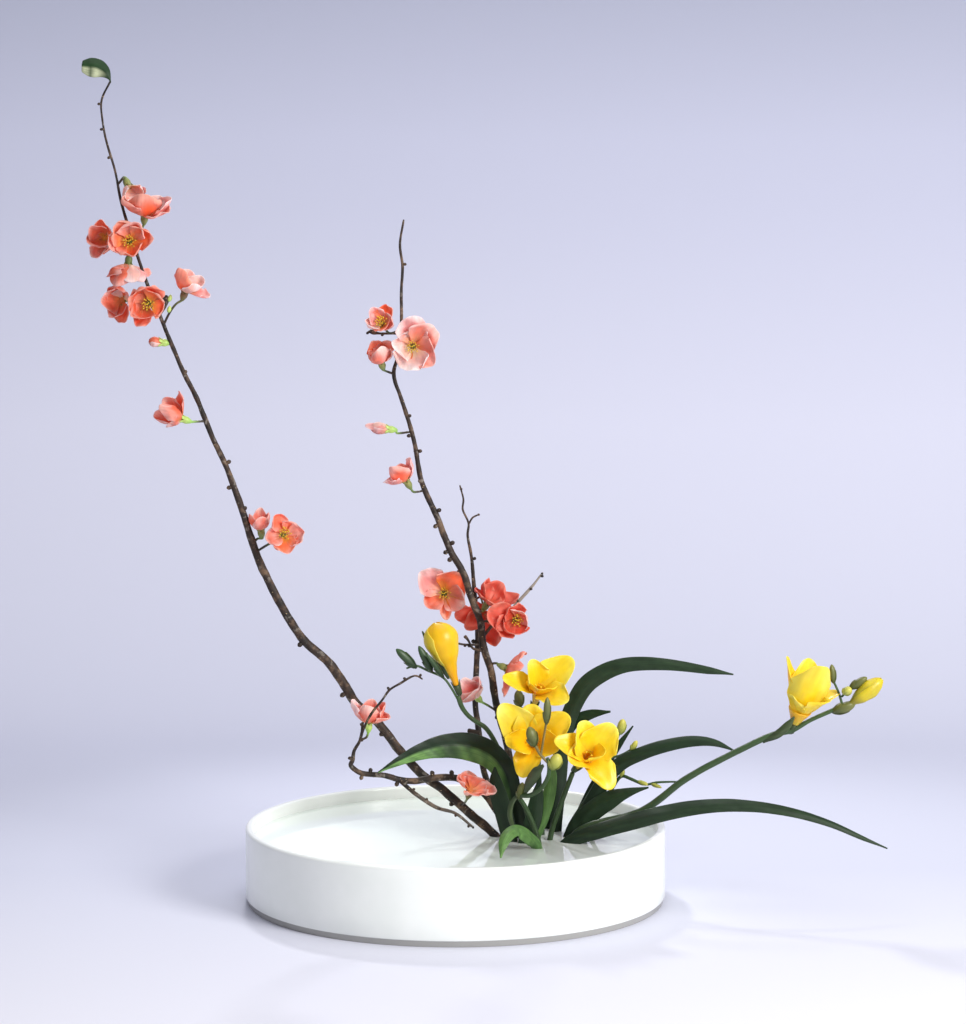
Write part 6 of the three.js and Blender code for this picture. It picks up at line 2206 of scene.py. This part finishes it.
@dataclass
class PinHolder:
    """The round lead plate that the stems stand on, set with close rows of pins."""

    finishes: Finishes
    x: float = 72.0
    y: float = -4.0
    radius: float = 46.0
    bottom: float = 10.3
    plate: float = 8.0
    pin_length: float = 13.0
    pin_radius: float = 0.55
    point: float = 0.06
    rooted: float = 1.0
    margin: float = 4.0
    pitch: float = 3.6

    def build(self) -> None:
        """Builds the plate and its pins."""
        low, top, rim = self.bottom, self.bottom + self.plate, self.radius
        profile = [
            (low, rim - 0.8), (low + 0.8, rim), (top - 1.2, rim), (top - 0.4, rim - 0.4),
            (top, rim - 1.2), (top, 20.0),
        ]
        draft = Draft()
        middle = Vector((self.x, self.y, 0))
        draft.turned(middle, Vector((0, 0, 1)), profile, 96, [grey(0.4)] * len(profile))
        plate = draft.made("pin_holder_plate", [self.finishes.lead], smoothing=0)
        settle(plate, "lead", "pin_holder")
        mesh = bpy.data.meshes.new("pin_holder_pins")
        mesh.from_pydata([(0, 0, 0)], [], [])
        pins = linked("pin_holder_pins", mesh)
        reach = (rim - self.margin) * MM
        values = {
            "Rows": int(2 * reach / (self.pitch * MM)), "Reach": reach,
            "Length": (self.pin_length + self.rooted) * MM, "Radius": self.pin_radius * MM,
            "Point": self.point * MM, "Material": self.finishes.brass,
            "Seat": (self.x * MM, self.y * MM, (top - self.rooted) * MM),
        }
        pin_tree().apply(pins, values)
        settle(pins, "lead")


# -------- stage
@dataclass(frozen=True)
class PaperSweep(Finish):
    """Matt lavender-grey paper, palest in front and greyer up the wall: painted shade where the light
    falls off. V runs along the sweep.
    """

    name: str = "backdrop_paper"
    # painted shade: a darker band on the floor and the darker top of the wall stand in for the light
    # falling off
    shades: tuple[tuple[float, str], ...] = (
        (0.2, "#dedee8"), (0.35, "#ced0df"), (0.5, "#d6d8e8"), (0.7, "#d4d5e5"),
        (0.8, "#c2c4d6"), (0.86, "#a8abbd"),
    )

    def shader(self, new: Adder) -> Node:
        """Paper from its face. Nothing stands behind it, so its back leaves the view open.

        Args:
            new: adds a node to the material's tree.

        Returns:
            The node that feeds the surface.
        """
        spot = new("ShaderNodeUVMap", uv_map="sweep")
        along_it = new("ShaderNodeSeparateXYZ", {"Vector": spot}).outputs["Y"]
        colour = new(
            "ShaderNodeValToRGB", {"Fac": along_it},
            stops=[(place, linear(shade)) for place, shade in self.shades],
        )
        paper = new(
            "ShaderNodeBsdfPrincipled",
            {"Base Color": colour, "Roughness": 0.9, "Specular IOR Level": 0.1},
        )
        reverse = new("ShaderNodeNewGeometry").outputs["Backfacing"]
        clear = new("ShaderNodeBsdfTransparent")
        return new("ShaderNodeMixShader", {0: reverse, 1: paper, 2: clear})


@dataclass
class Studio:
    """Camera, paper sweep and lights."""

    camera_place: Triple = (0.021, -2.6, 0.5924)
    camera_pitch: float = 6.47
    focal_length: float = 121.73
    sensor: float = 36.0
    paper_front: float = -3.5
    flat_from: float = -1.0
    flat_step: float = 0.05
    sweep_start: float = 0.66
    sweep_radius: float = 0.5
    sweep_steps: int = 16
    wall_heights: Spot = (1.2, 4.0)
    half_width: float = 4.0
    fill: str = "#f3f3f8"

    def build(self) -> None:
        """Builds all of it."""
        scene = bpy.context.scene
        scene.view_settings.view_transform = "Standard"
        data = bpy.data.cameras.new("camera")
        data.lens, data.sensor_width, data.sensor_fit = self.focal_length, self.sensor, "AUTO"
        camera = linked("camera", data)
        camera.location = self.camera_place
        camera.rotation_euler = Euler((math.radians(90 - self.camera_pitch), 0, 0))
        scene.camera = camera
        self._sweep()
        self._lights()
        world = bpy.data.worlds.new("fill")
        scene.world = world
        world.use_nodes = True
        world.node_tree.nodes.clear()
        sky = add(
            world.node_tree, "ShaderNodeBackground", {"Color": linear(self.fill), "Strength": 0.5}
        )
        add(world.node_tree, "ShaderNodeOutputWorld", {"Surface": sky})

    def _line(self) -> list[Spot]:
        """The paper's line from its front edge, over the curve and up the wall.

        Returns:
            y and z of each point.
        """
        count = round((self.sweep_start - self.flat_from) / self.flat_step)
        line = [(self.flat_from + self.flat_step * i, 0.0) for i in range(count)]
        for i in range(self.sweep_steps + 1):
            angle = math.pi / 2 * i / self.sweep_steps
            reach = self.sweep_radius * math.sin(angle)
            line.append((self.sweep_start + reach, self.sweep_radius * (1 - math.cos(angle))))
        wall = self.sweep_start + self.sweep_radius
        return [(self.paper_front, 0.0), *line, *((wall, height) for height in self.wall_heights)]

    def _sweep(self) -> None:
        """Builds the paper: floor, curve and wall."""
        line = self._line()
        points = [(x, y, z) for y, z in line for x in (-self.half_width, self.half_width)]
        faces = [(2 * i, 2 * i + 1, 2 * i + 3, 2 * i + 2) for i in range(len(line) - 1)]
        mesh = bpy.data.meshes.new("paper")
        mesh.from_pydata(points, [], faces)
        lengths = [0.0]
        for start, end in zip(line[1:], line[2:]):
            lengths.append(lengths[-1] + math.dist(start, end))
        shares = [0.0, *(min(length / lengths[-2], 1.0) for length in lengths)]
        sweep = mesh.uv_layers.new(name="sweep")
        for loop, corner in zip(mesh.loops, sweep.data):
            corner.uv = (loop.vertex_index % 2, shares[loop.vertex_index // 2])
        mesh.polygons.foreach_set("use_smooth", [True] * len(faces))
        mesh.materials.append(PaperSweep().material())
        linked("paper", mesh)

    def _lights(self) -> None:
        """Places the lamps."""
        self._area("key", (1.55, -1.6, 1.15), (0.0, 0.0, 0.2), 0.9, 58.0, "#fffefa")
        self._area("overhead", (0.1, 0.1, 1.9), (0.0, 0.0, 0.0), 1.2, 8.0, "#fdfdff")
        data = bpy.data.lights.new("back", "SPOT")
        data.energy, data.spot_size, data.spot_blend = 30.0, math.radians(60), 1.0
        data.shadow_soft_size = 0.07
        self._placed(data, (-0.2, 0.95, 1.15), (0.12, -0.12, 0.0))

    @staticmethod
    def _area(
        name: str, place: Triple, target: Triple, size: float, power: float, tint: str
    ) -> None:
        """Places one square soft lamp.

        Args:
            name: its name.
            place: where it is, in metres.
            target: what it points at.
            size: its side.
            power: its power in watts.
            tint: its colour.
        """
        data = bpy.data.lights.new(name, "AREA")
        data.size, data.energy, data.color = size, power, linear(tint)[:3]
        Studio._placed(data, place, target)

    @staticmethod
    def _placed(data: Light, place: Triple, target: Triple) -> None:
        """Puts a lamp at a place and points it at a target.

        Args:
            data: the lamp's data.
            place: where it stands, in metres.
            target: what it points at.
        """
        lamp = linked(data.name, data)
        lamp.location = place
        way = Vector(target) - Vector(place)
        lamp.rotation_euler = way.to_track_quat("-Z", "Y").to_euler()


def main() -> None:
    """Builds the arrangement on its stage, piece by piece."""
    logging.basicConfig(level=logging.INFO, format="%(name)s %(message)s")
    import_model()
    Studio().build()
    finishes = Finishes()
    Bowl(finishes).build()
    PinHolder(finishes).build()
    for branch in BRANCHES:
        branch.build(finishes)
    QuinceBlooms(finishes).build()
    for stem in STEMS:
        stem.build(finishes)
    FreesiaBlooms(finishes).build()
    SwordLeaves(finishes).build()


if __name__ == "__main__":
    main()
